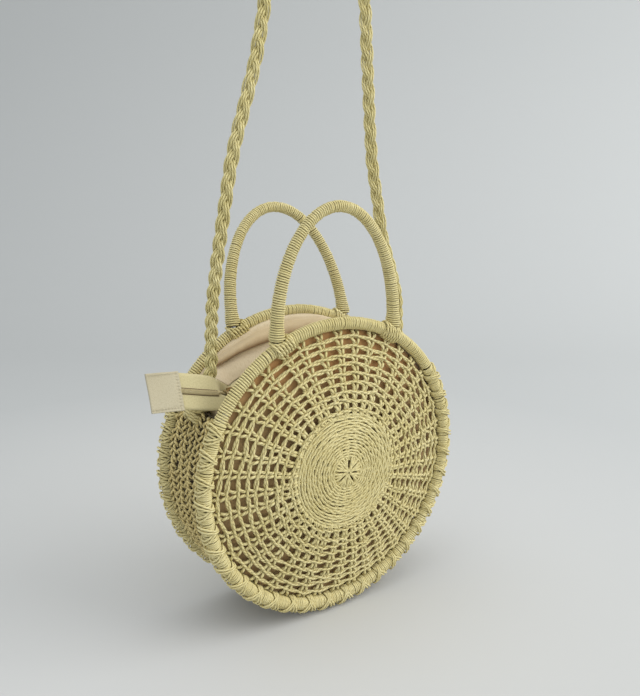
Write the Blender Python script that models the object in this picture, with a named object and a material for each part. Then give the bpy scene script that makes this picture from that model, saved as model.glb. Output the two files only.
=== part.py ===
"""Round straw shoulder bag: two wrapped hoops with woven faces, a woven gusset, a cotton lining with a
zipped mouth, two tilting handles and a long braided strap from which the bag hangs.

Metres, +Z up, X along the bag's width, the front face towards -Y. The origin is the underside of the
strap at the top of its loop, where a hook, a hand or a shoulder carries it. Everything below it is
modelled about the bag's own centre, which is the centre of its two hoops.
"""

import math

import bmesh
import bpy
from mathutils import Matrix, Vector

# Clearances
TOUCH_GAP = 0.0003
CUT_OVERRUN = 0.002

# Hoops and the cord wound round them
HOOP_RADIUS = 0.1202
HOOP_SPACING = 0.072
WIRE_RADIUS = 0.0025
WRAP_BORE_RADIUS = 0.003
RIM_WRAP_RADIUS = 0.0068
SCALLOP_BASE_RADIUS = 0.0062
SCALLOP_HEIGHT = 0.0026
SCALLOP_COUNT = 26
TOP_WRAP_STEPS = 14
GUSSET_END_ANGLE = math.radians(28)
WRAP_SIDES = 8
WIRE_SIDES = 6

# Woven faces
PANEL_BULGE = 0.0158
CENTRE_RADIUS = 0.048
CENTRE_THICKNESS = 0.0032
MESH_THICKNESS = 0.0026
PANEL_STEPS = 40

# Woven gusset between the hoops
GUSSET_THICKNESS = 0.003

# Cotton lining
LINING_THICKNESS = 0.001
LINING_IN_FROM_HOOP = 0.0062
LINING_EDGE_RADIUS = HOOP_RADIUS - LINING_IN_FROM_HOOP
LINING_EDGE_INSET = 0.004
LINING_BULGE = 0.0150
LINING_STEPS = 28
POCKET_RADIUS = LINING_EDGE_RADIUS - LINING_THICKNESS
POCKET_HALF_WIDTH = HOOP_SPACING / 2 - LINING_EDGE_INSET - LINING_THICKNESS / 2 - TOUCH_GAP
POCKET_END_ANGLE = math.radians(30)

# Zip: its line is straight, parallel to X, and lies towards the front of the mouth
ZIP_OFFSET = -0.010
ZIP_BELOW_HOOP = 0.0502
ZIP_HEIGHT = HOOP_RADIUS - ZIP_BELOW_HOOP
ZIP_HALF_RUN = 0.084
SLIDER_LENGTH = 0.009
SLIDER_WIDTH = 0.0086
SLIDER_HEIGHT = 0.0052
SLIDER_ROUNDING = 0.0007
COIL_RADIUS = 0.001
JOINED_COIL_RADIUS = 0.0014
TAPE_WIDTH = 0.012
TAPE_THICKNESS = 0.0006
FRONT_TAPE_BOW = 0.006
BACK_TAPE_BOW = 0.0015
COIL_RISE = 0.001
FRONT_TAPE_OUT = 0.0265
FRONT_TAPE_LIFT = 0.007
BACK_TAPE_OUT = 0.0073
BACK_TAPE_LIFT = 0.006
TAPE_MIDDLE_LIFT = 0.006
BACK_TAPE_MIDDLE_LIFT = 0.0035
STOP_LENGTH = 0.004
STOP_HEIGHT = 0.0024
TAPE_TAIL_OUT = 0.006

# Tail of the zip, which sticks out past the left end of the gusset, and the cotton tab folded over it.
# Its stretches are counted from the slider, away from the mouth, and the twist starts before it
TWIST_BEFORE_SLIDER = 0.012
TAPES_MEET_PAST = 0.0125
TAIL_COIL_PAST = 0.014
TAIL_PAST = 0.016
TAB_PAST = 0.0365
TAPE_END_PAST = 0.0435
TWIST_START = ZIP_HALF_RUN - TWIST_BEFORE_SLIDER
TAPES_MEET = ZIP_HALF_RUN + TAPES_MEET_PAST
TAIL_COIL_START = ZIP_HALF_RUN + TAIL_COIL_PAST
TAIL_START = ZIP_HALF_RUN + TAIL_PAST
TAB_START = ZIP_HALF_RUN + TAB_PAST
TAIL_END = ZIP_HALF_RUN + TAPE_END_PAST
TAIL_FORWARDS = 0.004
TAIL_RISE = 0.003
TAIL_SLOPE = 0.19
TAIL_TILT = math.radians(69)
TAB_LENGTH = 0.030
TAB_WIDTH = 0.032
TAB_THICKNESS = 0.0028
TAB_ROUNDING = 0.0008
TAB_SLOT = 0.0012

# Puller of the zip slider
PULLER_LENGTH = 0.021
PULLER_WIDTH = 0.0058
PULLER_THICKNESS = 0.0012
PULLER_EYE_LENGTH = 0.0054
PULLER_EYE_WIDTH = 0.0030
PULLER_BAR = 0.0006
BRIDGE_LENGTH = 0.0062
BRIDGE_HEIGHT = 0.0032
BRIDGE_WIDTH = 0.0016
BRIDGE_WALL = 0.0008

# Mouth flaps of the lining
FLAP_IN_FROM_HOOP = 0.0058
FLAP_SEAM_RADIUS = HOOP_RADIUS - FLAP_IN_FROM_HOOP
FLAP_IN_FROM_PANEL = 0.0054
FLAP_SEAM_OFFSET = HOOP_SPACING / 2 - FLAP_IN_FROM_PANEL
FLAP_PAST_ZIP = 0.014
FLAP_HALF_LENGTH = ZIP_HALF_RUN + FLAP_PAST_ZIP
FLAP_END_RUN = 0.014
FLAP_END_WIDTH = 0.004
FLAP_DROP = 0.001
BACK_FLAP_LIFT = 0.006
FRONT_FLAP_LIFT = 0.0015

# Handles
HANDLE_HALF_SPAN = 0.057
HANDLE_RISE = 0.0955
HANDLE_RADIUS = 0.006
HANDLE_BALL_RADIUS = 0.007
HANDLE_SEAT_WALL = 0.0005
HANDLE_STEPS = 24
FRONT_HANDLE_LEAN = 0.0
BACK_HANDLE_LEAN = math.radians(16)
LASHING_RADIUS = 0.0089
LASHING_HALF_LENGTH = 0.0115
LASHING_HALF_COVER = math.radians(115)

# Strap
STRAP_RADIUS = 0.00625
STRAP_OUT_FROM_HOOP = 0.0034
STRAP_SEAT_RADIUS = HOOP_RADIUS + STRAP_OUT_FROM_HOOP
STRAP_POINT_SPACING = 0.026
STRAP_MOST_TURN = math.radians(18)
SWING_HEIGHT = 0.112
KNOT_LENGTH = 0.020
KNOT_BELOW = 0.0065
KNOT_WIDTH = 0.0180
KNOT_WALL = 0.0018
KNOT_IN_FROM_HOOP = 0.0046
KNOT_INNER_RADIUS = HOOP_RADIUS - KNOT_IN_FROM_HOOP
KNOT_ROUNDING = 0.003

# Route of the strap's free run, as X and Z from the bag's centre, up its left side and down its right
STRAP_RUN = [
    (-0.0944, 0.1120), (-0.0924, 0.1400), (-0.0877, 0.1720), (-0.0808, 0.2100), (-0.0724, 0.2520),
    (-0.0607, 0.2910), (-0.0515, 0.3230), (-0.0436, 0.3620), (-0.0375, 0.4050), (-0.0320, 0.4550),
    (-0.0275, 0.5100), (-0.0245, 0.5700), (-0.0228, 0.6180), (-0.0180, 0.6360), (0.0000, 0.64995),
    (0.0180, 0.6360), (0.0228, 0.6180), (0.0262, 0.5700), (0.0310, 0.5100), (0.0370, 0.4550),
    (0.0432, 0.4050), (0.0484, 0.3740), (0.0535, 0.3130), (0.0590, 0.2520), (0.0665, 0.2150),
    (0.0730, 0.1850), (0.0850, 0.1520), (0.0912, 0.1300), (0.0926, 0.1120),
]
STRAP_TOP_HEIGHT = max(height for _, height in STRAP_RUN) - STRAP_RADIUS
# Route of the closed coil from the slider to the tail, as shares of the way along, across and up
TAIL_COIL_SHARES = [(0.185, 0.17, 0.30), (0.348, 0.51, 0.75), (0.565, 0.82, 1.08), (0.728, 1.02, 1.08)]
# Route of each fixed end, from its knot to the bend, as distances out from the middle and Z
LEFT_END_RUN = [(0.1026, 0.0700), (0.0980, 0.0790), (0.0955, 0.0890), (0.0945, 0.1000), (0.0944, 0.1120)]
RIGHT_END_RUN = [(0.1026, 0.0700), (0.0984, 0.0790), (0.0950, 0.0890), (0.0932, 0.1000), (0.0926, 0.1120)]

# Colours: base colour, roughness and metallic value of each finish
FINISHES = {
    "straw_cord": ((0.60, 0.55, 0.27), 0.75, 0.0),
    "straw_braid": ((0.56, 0.52, 0.25), 0.75, 0.0),
    "lining_cotton": ((0.52, 0.42, 0.29), 0.85, 0.0),
    "tab_cotton": ((0.60, 0.50, 0.36), 0.85, 0.0),
    "zip_tape": ((0.60, 0.53, 0.32), 0.80, 0.0),
    "zip_coil": ((0.26, 0.17, 0.09), 0.50, 0.0),
    "slider_metal": ((0.55, 0.45, 0.28), 0.35, 1.0),
    "hoop_steel": ((0.45, 0.46, 0.47), 0.40, 1.0),
}

LEFT = -1
RIGHT = 1
FRONT = -1
BACK = 1
ALONG_Y = Vector((0, 1, 0))


def clear_scene():
    for found in list(bpy.data.objects):
        bpy.data.objects.remove(found)


def finish(name):
    """The Principled material of one finish, made once."""
    found = bpy.data.materials.get(name)
    if found:
        return found
    colour, roughness, metallic = FINISHES[name]
    made = bpy.data.materials.new(name)
    made.use_nodes = True
    shader = made.node_tree.nodes["Principled BSDF"]
    shader.inputs["Base Color"].default_value = (*colour, 1)
    shader.inputs["Roughness"].default_value = roughness
    shader.inputs["Metallic"].default_value = metallic
    return made


def empty(name, place, parent=None):
    made = bpy.data.objects.new(name, None)
    bpy.context.scene.collection.objects.link(made)
    made.parent = parent
    made.location = place
    return made


def add_object(name, data, parent, finish_name):
    made = bpy.data.objects.new(name, data)
    bpy.context.scene.collection.objects.link(made)
    made.parent = parent
    data.materials.append(finish(finish_name))
    return made


def solid(name, bm, parent, finish_name, smooth=True):
    """Turns a bmesh into a named object with its faces pointing out."""
    bmesh.ops.recalc_face_normals(bm, faces=bm.faces)
    mesh = bpy.data.meshes.new(name)
    bm.to_mesh(mesh)
    bm.free()
    if smooth:
        mesh.shade_smooth()
        mesh.set_sharp_from_angle(angle=math.radians(50))
    return add_object(name, mesh, parent, finish_name)


def cutter(name, bm, parent):
    """A helper solid that is cut away from others and isn't a piece itself."""
    made = solid(name, bm, parent, "straw_cord", smooth=False)
    made.hide_render = True
    made.display_type = "WIRE"
    return made


def cut(target, tool):
    made = target.modifiers.new(tool.name, "BOOLEAN")
    made.operation = "DIFFERENCE"
    made.solver = "EXACT"
    made.object = tool


def frame_at(point, along, normal):
    """A matrix whose Z runs along a path, and whose X is the normal of the path's plane."""
    along = along.normalized()
    across = along.cross(normal).normalized()
    upright = across.cross(along)
    turned = Matrix((upright, across, along)).transposed().to_4x4()
    return Matrix.Translation(point) @ turned


def frames_along(points, normal=ALONG_Y):
    frames = []
    for index, point in enumerate(points):
        before = points[max(index - 1, 0)]
        after = points[min(index + 1, len(points) - 1)]
        frames.append(frame_at(point, after - before, normal))
    return frames


def add_ring(bm, frame, radius, sides):
    """A circle of edges in a frame's X-Y plane."""
    made = bmesh.ops.create_circle(bm, segments=sides, radius=radius, matrix=frame)["verts"]
    return [bm.edges.get(pair) for pair in zip(made, made[1:] + made[:1])]


def add_tube(bm, frames, radii, sides, closed=False):
    """Bridges one ring per frame, and returns the first ring's and the last ring's edges."""
    rings = [add_ring(bm, frame, radius, sides) for frame, radius in zip(frames, radii)]
    for near, far in zip(rings, rings[1:]):
        bmesh.ops.bridge_loops(bm, edges=near + far)
    if closed:
        bmesh.ops.bridge_loops(bm, edges=rings[-1] + rings[0])
    return rings[0], rings[-1]


def close_ends(bm, ends):
    for ring in ends:
        bmesh.ops.edgeloop_fill(bm, edges=ring)


def join_ends(bm, outer_ends, inner_ends):
    """Closes the ends of a hollow tube. Its bore ends a little deeper than its outside does."""
    for outer, inner in zip(outer_ends, inner_ends):
        bmesh.ops.bridge_loops(bm, edges=outer + inner)


def spin_outline(bm, outline, start, angle, steps):
    """Spins a closed outline of (radius, depth) points about the bag's Y axis, from X towards Z."""
    full = angle >= 2 * math.pi
    turn = Matrix.Rotation(-start, 4, ALONG_Y)
    verts = [bm.verts.new(turn @ Vector((radius, depth, 0))) for radius, depth in outline]
    edges = [bm.edges.new(pair) for pair in zip(verts, verts[1:] + verts[:1])]
    spun = bmesh.ops.spin(
        bm, geom=verts + edges, cent=(0, 0, 0), axis=-ALONG_Y, angle=angle, steps=steps, use_merge=full
    )
    if full:
        return
    last = [part for part in spun["geom_last"] if isinstance(part, bmesh.types.BMEdge)]
    close_ends(bm, [edges, last])


def add_box(bm, size, frame, rounding=0):
    made = bmesh.ops.create_cube(bm, size=1, matrix=frame @ Matrix.Diagonal((*size, 1)))["verts"]
    if rounding:
        edges = list({edge for vert in made for edge in vert.link_edges})
        edges.sort(key=lambda edge: edge.index)
        bmesh.ops.bevel(
            bm, geom=edges, offset=rounding, offset_type="OFFSET", affect="EDGES",
            segments=2, profile=0.5, material=-1,
        )


def rim_point(angle, radius=HOOP_RADIUS, depth=0):
    return Vector((radius * math.cos(angle), depth, radius * math.sin(angle)))


def spread(low, high, steps):
    return [low + (high - low) * step / steps for step in range(steps + 1)]


def smooth_share(value):
    share = min(max(value, 0), 1)
    return share * share * (3 - 2 * share)


def mix(first, second, share):
    return first * (1 - share) + second * share


def top_angles(steps=TOP_WRAP_STEPS):
    return spread(GUSSET_END_ANGLE, math.pi - GUSSET_END_ANGLE, steps)


def lower_angles(steps=SCALLOP_COUNT):
    return spread(math.pi - GUSSET_END_ANGLE, 2 * math.pi + GUSSET_END_ANGLE, steps)


def arc_frames(angles, depth):
    """Frames along part of a hoop, each square to the hoop itself."""
    return [
        frame_at(rim_point(angle, depth=depth), rim_point(angle + math.pi / 2, radius=1), ALONG_Y)
        for angle in angles
    ]


def hoop_depth(side):
    return side * HOOP_SPACING / 2


def make_hoop_wire(name, side, bag):
    angles = top_angles()[:-1] + lower_angles()[:-1]
    bm = bmesh.new()
    add_tube(bm, arc_frames(angles, hoop_depth(side)), [WIRE_RADIUS] * len(angles), WIRE_SIDES, True)
    solid(name, bm, bag, "hoop_steel")


def shortened(angles, length):
    """The same stretch of hoop, less a length at each end."""
    trim = length / HOOP_RADIUS
    return [angles[0] + trim, *angles[1:-1], angles[-1] - trim]


def make_wrap(name, side, bag, outer_angles, bore_angles, wrap_radius):
    bm = bmesh.new()
    outer_frames = arc_frames(shortened(outer_angles, TOUCH_GAP / 2), hoop_depth(side))
    bore_frames = arc_frames(shortened(bore_angles, TOUCH_GAP), hoop_depth(side))
    outer = add_tube(bm, outer_frames, [wrap_radius] * len(outer_frames), WRAP_SIDES)
    wall = list(bm.verts)
    bore = add_tube(bm, bore_frames, [WRAP_BORE_RADIUS] * len(bore_frames), WRAP_SIDES)
    join_ends(bm, outer, bore)
    return bm, wall


def make_top_wrap(name, side, bag):
    bm, _ = make_wrap(name, side, bag, top_angles(2 * TOP_WRAP_STEPS), top_angles(), RIM_WRAP_RADIUS)
    made = solid(name, bm, bag, "straw_cord")
    cut(made, bpy.data.objects[seat_cutter_name(side)])


def make_lower_wrap(name, side, bag):
    """The lower wrap bulges outwards at each lashing that ties the gusset to the hoop."""
    outer_steps = 2 * SCALLOP_COUNT
    bm, wall = make_wrap(
        name, side, bag, lower_angles(outer_steps), lower_angles(), SCALLOP_BASE_RADIUS
    )
    pitch = (math.pi + 2 * GUSSET_END_ANGLE) / SCALLOP_COUNT
    for vert in wall:
        angle = math.atan2(vert.co.z, vert.co.x) % (2 * math.pi)
        centre = rim_point(angle, depth=hoop_depth(side))
        outward = (vert.co - centre).dot(rim_point(angle, radius=1)) / SCALLOP_BASE_RADIUS
        turn = (angle - math.pi + GUSSET_END_ANGLE) % (2 * math.pi)
        pulse = 0.5 - 0.5 * math.cos(2 * math.pi * turn / pitch)
        reach = SCALLOP_HEIGHT * pulse * max(outward, 0)
        vert.co += (vert.co - centre).normalized() * reach
    solid(name, bm, bag, "straw_cord")


def dome_outline(side, radii, thickness, edge_depth, bulge, edge_radius):
    """Closed outline of a domed sheet: its outer face from first to last radius, then its inner face."""
    def depth(radius):
        return side * (edge_depth + bulge * (1 - (radius / edge_radius) ** 2))

    outer = [(radius, depth(radius) + side * thickness / 2) for radius in radii]
    inner = [(radius, depth(radius) - side * thickness / 2) for radius in reversed(radii)]
    return outer + inner


def panel_edge_radius():
    return HOOP_RADIUS - RIM_WRAP_RADIUS - TOUCH_GAP


def make_dome(name, bag, finish_name, outline, steps):
    bm = bmesh.new()
    spin_outline(bm, outline, 0, 2 * math.pi, steps)
    bmesh.ops.remove_doubles(bm, verts=bm.verts, dist=TOUCH_GAP / 10)
    bmesh.ops.dissolve_degenerate(bm, edges=bm.edges, dist=TOUCH_GAP / 10)
    loose = [edge for edge in bm.edges if not edge.link_faces]
    bmesh.ops.delete(bm, geom=loose, context="EDGES")
    inside = [face for face in bm.faces if all(len(edge.link_faces) > 2 for edge in face.edges)]
    bmesh.ops.delete(bm, geom=inside, context="FACES")
    solid(name, bm, bag, finish_name)


def make_panel(side_name, side, bag):
    edge = panel_edge_radius()
    centre_radii = spread(0, CENTRE_RADIUS - TOUCH_GAP, 3)
    mesh_radii = spread(CENTRE_RADIUS, edge, 3)
    centre = dome_outline(side, centre_radii, CENTRE_THICKNESS, HOOP_SPACING / 2, PANEL_BULGE, edge)
    mesh = dome_outline(side, mesh_radii, MESH_THICKNESS, HOOP_SPACING / 2, PANEL_BULGE, edge)
    make_dome(side_name + "_panel_centre", bag, "straw_cord", centre, LINING_STEPS)
    make_dome(side_name + "_panel_mesh", bag, "straw_cord", mesh, PANEL_STEPS)


def band_outline(low_radius, high_radius, half_width):
    return [
        (low_radius, -half_width), (high_radius, -half_width),
        (high_radius, half_width), (low_radius, half_width),
    ]


def make_gusset(bag):
    half_width = HOOP_SPACING / 2 - RIM_WRAP_RADIUS - TOUCH_GAP
    inner = HOOP_RADIUS - GUSSET_THICKNESS / 2
    outline = band_outline(inner, inner + GUSSET_THICKNESS, half_width)
    bm = bmesh.new()
    spin_outline(bm, outline, math.pi - GUSSET_END_ANGLE, math.pi + 2 * GUSSET_END_ANGLE, 2 * SCALLOP_COUNT)
    solid("gusset_band", bm, bag, "straw_cord")


def make_lining(bag):
    for side_name, side in (("front", FRONT), ("back", BACK)):
        radii = spread(0, LINING_EDGE_RADIUS, 4)
        edge_depth = HOOP_SPACING / 2 - LINING_EDGE_INSET
        outline = dome_outline(
            side, radii, LINING_THICKNESS, edge_depth, LINING_BULGE, LINING_EDGE_RADIUS
        )
        make_dome("lining_" + side_name, bag, "lining_cotton", outline, LINING_STEPS)
    outline = band_outline(POCKET_RADIUS, POCKET_RADIUS + LINING_THICKNESS, POCKET_HALF_WIDTH)
    bm = bmesh.new()
    spin_outline(bm, outline, math.pi - POCKET_END_ANGLE, math.pi + 2 * POCKET_END_ANGLE, 2 * SCALLOP_COUNT)
    solid("lining_gusset", bm, bag, "lining_cotton")


# The zip's edges, each a function of X that gives a point on it


def hump(x):
    return max(1 - (x / ZIP_HALF_RUN) ** 2, 0)


def clear_half_width():
    """From the zip's line to the middle of an open coil, just outside the slider's path."""
    return SLIDER_WIDTH / 2 + TOUCH_GAP + COIL_RADIUS


def coil_line(x, side):
    bow = FRONT_TAPE_BOW if side == FRONT else BACK_TAPE_BOW
    out = clear_half_width() + bow * hump(x)
    return Vector((x, ZIP_OFFSET + side * out, ZIP_HEIGHT + COIL_RISE * hump(x)))


def tail_line(x):
    """The tail's middle line, on the tape."""
    rise = TAIL_RISE + TAIL_SLOPE * (-TAIL_START - x)
    return Vector((x, ZIP_OFFSET - TAIL_FORWARDS, ZIP_HEIGHT + rise))


def tail_up():
    """From the tail's front edge to its back edge: the tail stands on its edge and leans back."""
    return Vector((0, math.cos(TAIL_TILT), math.sin(TAIL_TILT)))


def tail_face():
    return Vector((0, -math.sin(TAIL_TILT), math.cos(TAIL_TILT)))


def tape_inner_edge(x, side):
    open_edge = coil_line(x, side) + Vector((0, side * (COIL_RADIUS + TOUCH_GAP), 0))
    tail_edge = tail_line(x) + side * tail_up() * TOUCH_GAP
    slider_end = ZIP_HALF_RUN + SLIDER_LENGTH / 2 + TOUCH_GAP
    share = smooth_share((-slider_end - x) / (TAPES_MEET - slider_end))
    return mix(open_edge, tail_edge, share)


def tape_outer_edge(x, side):
    if side == FRONT:
        out = -FRONT_TAPE_OUT + (FRONT_TAPE_OUT + ZIP_OFFSET - SLIDER_WIDTH - FRONT_TAPE_BOW) * hump(x) / 2
        lift = FRONT_TAPE_LIFT + TAPE_MIDDLE_LIFT * hump(x)
    else:
        out = BACK_TAPE_OUT
        lift = BACK_TAPE_LIFT + BACK_TAPE_MIDDLE_LIFT * hump(x)
    open_edge = Vector((x, out, ZIP_HEIGHT + lift))
    tail_edge = tail_line(x) + side * tail_up() * TAPE_WIDTH
    share = smooth_share((-TWIST_START - x) / (TAIL_START - TWIST_START))
    return mix(open_edge, tail_edge, share)


def flap_seam(x, side):
    return Vector((x, side * FLAP_SEAM_OFFSET, math.sqrt(FLAP_SEAM_RADIUS ** 2 - x * x)))


def flap_inner_edge(x, side):
    """Next to the zip's tape along the mouth, and drawn in to the seam at both ends."""
    reach = ZIP_HALF_RUN if abs(x) > ZIP_HALF_RUN else abs(x)
    tape = tape_outer_edge(reach, side)
    seam = flap_seam(x, side)
    near = Vector((x, tape.y + side * 2 * TOUCH_GAP, min(tape.z + 2 * TOUCH_GAP, seam.z - FLAP_DROP)))
    ends = seam + Vector((0, -side * FLAP_END_WIDTH, -FLAP_DROP))
    share = smooth_share((abs(x) - FLAP_HALF_LENGTH + FLAP_END_RUN) / FLAP_END_RUN)
    return mix(near, ends, share)


def make_cloth(name, bag, finish_name, edge_a, edge_b, places, lift_shares, lift, thickness):
    """A sheet between two edges, with its thickness, that rises between them by shares of a lift."""
    bm = bmesh.new()
    across = len(lift_shares) - 1
    rows = []
    for x in places:
        first = edge_a(x)
        last = edge_b(x)
        rise = lift * hump(x)
        row = [
            bm.verts.new(mix(first, last, step / across) + Vector((0, 0, rise * share)))
            for step, share in enumerate(lift_shares)
        ]
        rows.append(row)
    for near, far in zip(rows, rows[1:]):
        for index in range(across):
            bm.faces.new((near[index], near[index + 1], far[index + 1], far[index]))
    made = solid(name, bm, bag, finish_name)
    thicken = made.modifiers.new("cloth_thickness", "SOLIDIFY")
    thicken.thickness = thickness
    thicken.offset = 0


def make_mouth(bag):
    tape_places = (
        spread(-TAIL_END, -TAIL_START, 3) + spread(-TAIL_START, -TWIST_START, 16)[1:]
        + spread(-TWIST_START, ZIP_HALF_RUN + TAPE_TAIL_OUT, 14)[1:]
    )
    flap_places = spread(-FLAP_HALF_LENGTH, FLAP_HALF_LENGTH, 24)
    front_shares = (0, 1, 0)
    back_shares = (0, 0.55, 1, 0.75, 0.2, 0)
    for side_name, side in (("front", FRONT), ("back", BACK)):
        make_cloth(
            "zip_tape_" + side_name, bag, "zip_tape",
            lambda x: tape_inner_edge(x, side), lambda x: tape_outer_edge(x, side),
            tape_places, (0, 0), 0, TAPE_THICKNESS,
        )
        make_cloth(
            "mouth_flap_" + side_name, bag, "lining_cotton",
            lambda x: flap_seam(x, side), lambda x: flap_inner_edge(x, side),
            flap_places, front_shares if side == FRONT else back_shares,
            FRONT_FLAP_LIFT if side == FRONT else BACK_FLAP_LIFT, LINING_THICKNESS,
        )


def make_curve_tube(name, points, radius, resolution, parent, finish_name):
    data = bpy.data.curves.new(name, "CURVE")
    data.dimensions = "3D"
    data.bevel_depth = radius
    data.bevel_resolution = resolution
    data.use_fill_caps = True
    spline = data.splines.new("POLY")
    spline.points.add(len(points) - 1)
    for spot, point in zip(spline.points, points):
        spot.co = (*point, 1)
    spline.use_smooth = True
    return add_object(name, data, parent, finish_name)


def make_coils(bag):
    run_start = -ZIP_HALF_RUN + SLIDER_LENGTH / 2 + TOUCH_GAP
    run_end = ZIP_HALF_RUN - TOUCH_GAP
    for side_name, side in (("front", FRONT), ("back", BACK)):
        points = [coil_line(x, side) for x in spread(run_start, run_end, 16)]
        make_curve_tube("zip_coil_" + side_name, points, COIL_RADIUS, 1, bag, "zip_coil")
    stand_off = tail_face() * (JOINED_COIL_RADIUS + TAPE_THICKNESS / 2 + TOUCH_GAP)
    in_slider = Vector((-ZIP_HALF_RUN, ZIP_OFFSET, ZIP_HEIGHT))
    slider_edge = in_slider - Vector((SLIDER_LENGTH / 2 + TOUCH_GAP, 0, 0))
    tail_points = [
        tail_line(x) + stand_off for x in spread(-TAIL_COIL_START, -TAB_START + TOUCH_GAP, 3)
    ]
    whole = tail_points[0] - slider_edge
    run = [slider_edge + whole * Vector(shares) for shares in TAIL_COIL_SHARES]
    points = [in_slider, slider_edge, *run, *tail_points]
    make_curve_tube("zip_coil_tail", points, JOINED_COIL_RADIUS, 1, bag, "zip_coil")


def make_end_stop(bag):
    bm = bmesh.new()
    place = Vector((ZIP_HALF_RUN + STOP_LENGTH / 2, ZIP_OFFSET, ZIP_HEIGHT))
    width = 2 * (clear_half_width() + COIL_RADIUS)
    add_box(bm, (STOP_LENGTH, width, STOP_HEIGHT), Matrix.Translation(place), SLIDER_ROUNDING)
    solid("zip_end_stop", bm, bag, "slider_metal")


def make_end_tab(bag):
    """A piece of cotton folded over the end of the zip's tail, with the tape in its fold."""
    along = Vector((-1, 0, TAIL_SLOPE)).normalized()
    start = tail_line(-TAB_START)
    middle = start + along * TAB_LENGTH / 2
    frame = frame_at(middle, along, tail_up())
    bm = bmesh.new()
    add_box(bm, (TAB_WIDTH, TAB_THICKNESS, TAB_LENGTH), frame, TAB_ROUNDING)
    made = solid("zip_end_tab", bm, bag, "tab_cotton")
    skew = along.dot(tail_up()) * TAPE_WIDTH
    depth = (TAIL_END - TAB_START) * math.hypot(1, TAIL_SLOPE) + skew + TOUCH_GAP
    slot_frame = frame_at(start + along * (depth - CUT_OVERRUN) / 2, along, tail_up())
    bm = bmesh.new()
    add_box(bm, (2 * TAPE_WIDTH + 4 * TOUCH_GAP, TAB_SLOT, depth + CUT_OVERRUN), slot_frame)
    cut(made, cutter("cutter_tab_slot", bm, bag))


def make_slider(slider):
    """Body with a channel for the joined coil, side slots for the tapes and a bridge for the puller."""
    bm = bmesh.new()
    add_box(bm, (SLIDER_LENGTH, SLIDER_WIDTH, SLIDER_HEIGHT), Matrix.Identity(4), SLIDER_ROUNDING)
    made = solid("zip_slider", bm, slider, "slider_metal")
    channel = 2 * (JOINED_COIL_RADIUS + TOUCH_GAP)
    channel_length = SLIDER_LENGTH / 2 + CUT_OVERRUN
    place = Matrix.Translation((TOUCH_GAP - channel_length / 2, 0, 0))
    bm = bmesh.new()
    add_box(bm, (channel_length, channel, channel), place)
    cut(made, cutter("cutter_slider_channel", bm, slider))
    bm = bmesh.new()
    slot_height = TAPE_THICKNESS + 2 * TOUCH_GAP
    for side in (FRONT, BACK):
        place = Matrix.Translation((0, side * SLIDER_WIDTH / 2, 0))
        add_box(bm, (SLIDER_LENGTH + CUT_OVERRUN, SLIDER_WIDTH / 4, slot_height), place)
    cut(made, cutter("cutter_slider_slots", bm, slider))
    bridge_base = SLIDER_HEIGHT / 2 - BRIDGE_WALL
    bridge_frame = Matrix.Translation((0, 0, bridge_base + BRIDGE_HEIGHT / 2))
    bm = bmesh.new()
    add_box(bm, (BRIDGE_LENGTH, BRIDGE_WIDTH, BRIDGE_HEIGHT), bridge_frame)
    bridge = cutter("helper_slider_bridge", bm, slider)
    bm = bmesh.new()
    eye = (BRIDGE_LENGTH - 2 * BRIDGE_WALL, BRIDGE_WIDTH + CUT_OVERRUN, BRIDGE_HEIGHT - 2 * BRIDGE_WALL)
    add_box(bm, eye, bridge_frame)
    cut(bridge, cutter("cutter_bridge_eye", bm, slider))
    union = made.modifiers.new("bridge", "BOOLEAN")
    union.operation = "UNION"
    union.solver = "EXACT"
    union.object = bridge


def puller_axis_height():
    """Height of the puller's bar above the slider's middle, inside the bridge."""
    return SLIDER_HEIGHT / 2 + BRIDGE_HEIGHT / 2 - BRIDGE_WALL


def make_puller(puller):
    """A flat tongue, whose eye holds the bridge. The bar of the eye lies on the hinge's axis."""
    bm = bmesh.new()
    place = Matrix.Translation((PULLER_LENGTH / 2 - PULLER_BAR, 0, 0))
    add_box(bm, (PULLER_LENGTH, PULLER_WIDTH, PULLER_THICKNESS), place, PULLER_THICKNESS / 4)
    made = solid("zip_puller", bm, puller, "slider_metal")
    bm = bmesh.new()
    eye_place = Matrix.Translation((PULLER_BAR + PULLER_EYE_LENGTH / 2, 0, 0))
    add_box(bm, (PULLER_EYE_LENGTH, PULLER_EYE_WIDTH, PULLER_THICKNESS + CUT_OVERRUN), eye_place)
    cut(made, cutter("cutter_puller_eye", bm, puller))


# Handles


def foot_radius():
    """From the bag's centre to the middle of a handle's ball, which rests in its seat on the hoop."""
    return HOOP_RADIUS + WRAP_BORE_RADIUS + HANDLE_SEAT_WALL + HANDLE_BALL_RADIUS + TOUCH_GAP


def foot_height():
    return math.sqrt(foot_radius() ** 2 - HANDLE_HALF_SPAN ** 2)


def foot_angle(end):
    return math.atan2(foot_height(), end * HANDLE_HALF_SPAN)


def handle_points():
    """Half an ellipse from foot to foot, in the handle's own plane, with the feet at zero height."""
    return [
        Vector((-HANDLE_HALF_SPAN * math.cos(turn), 0, HANDLE_RISE * math.sin(turn)))
        for turn in spread(0, math.pi, HANDLE_STEPS)
    ]


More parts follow.
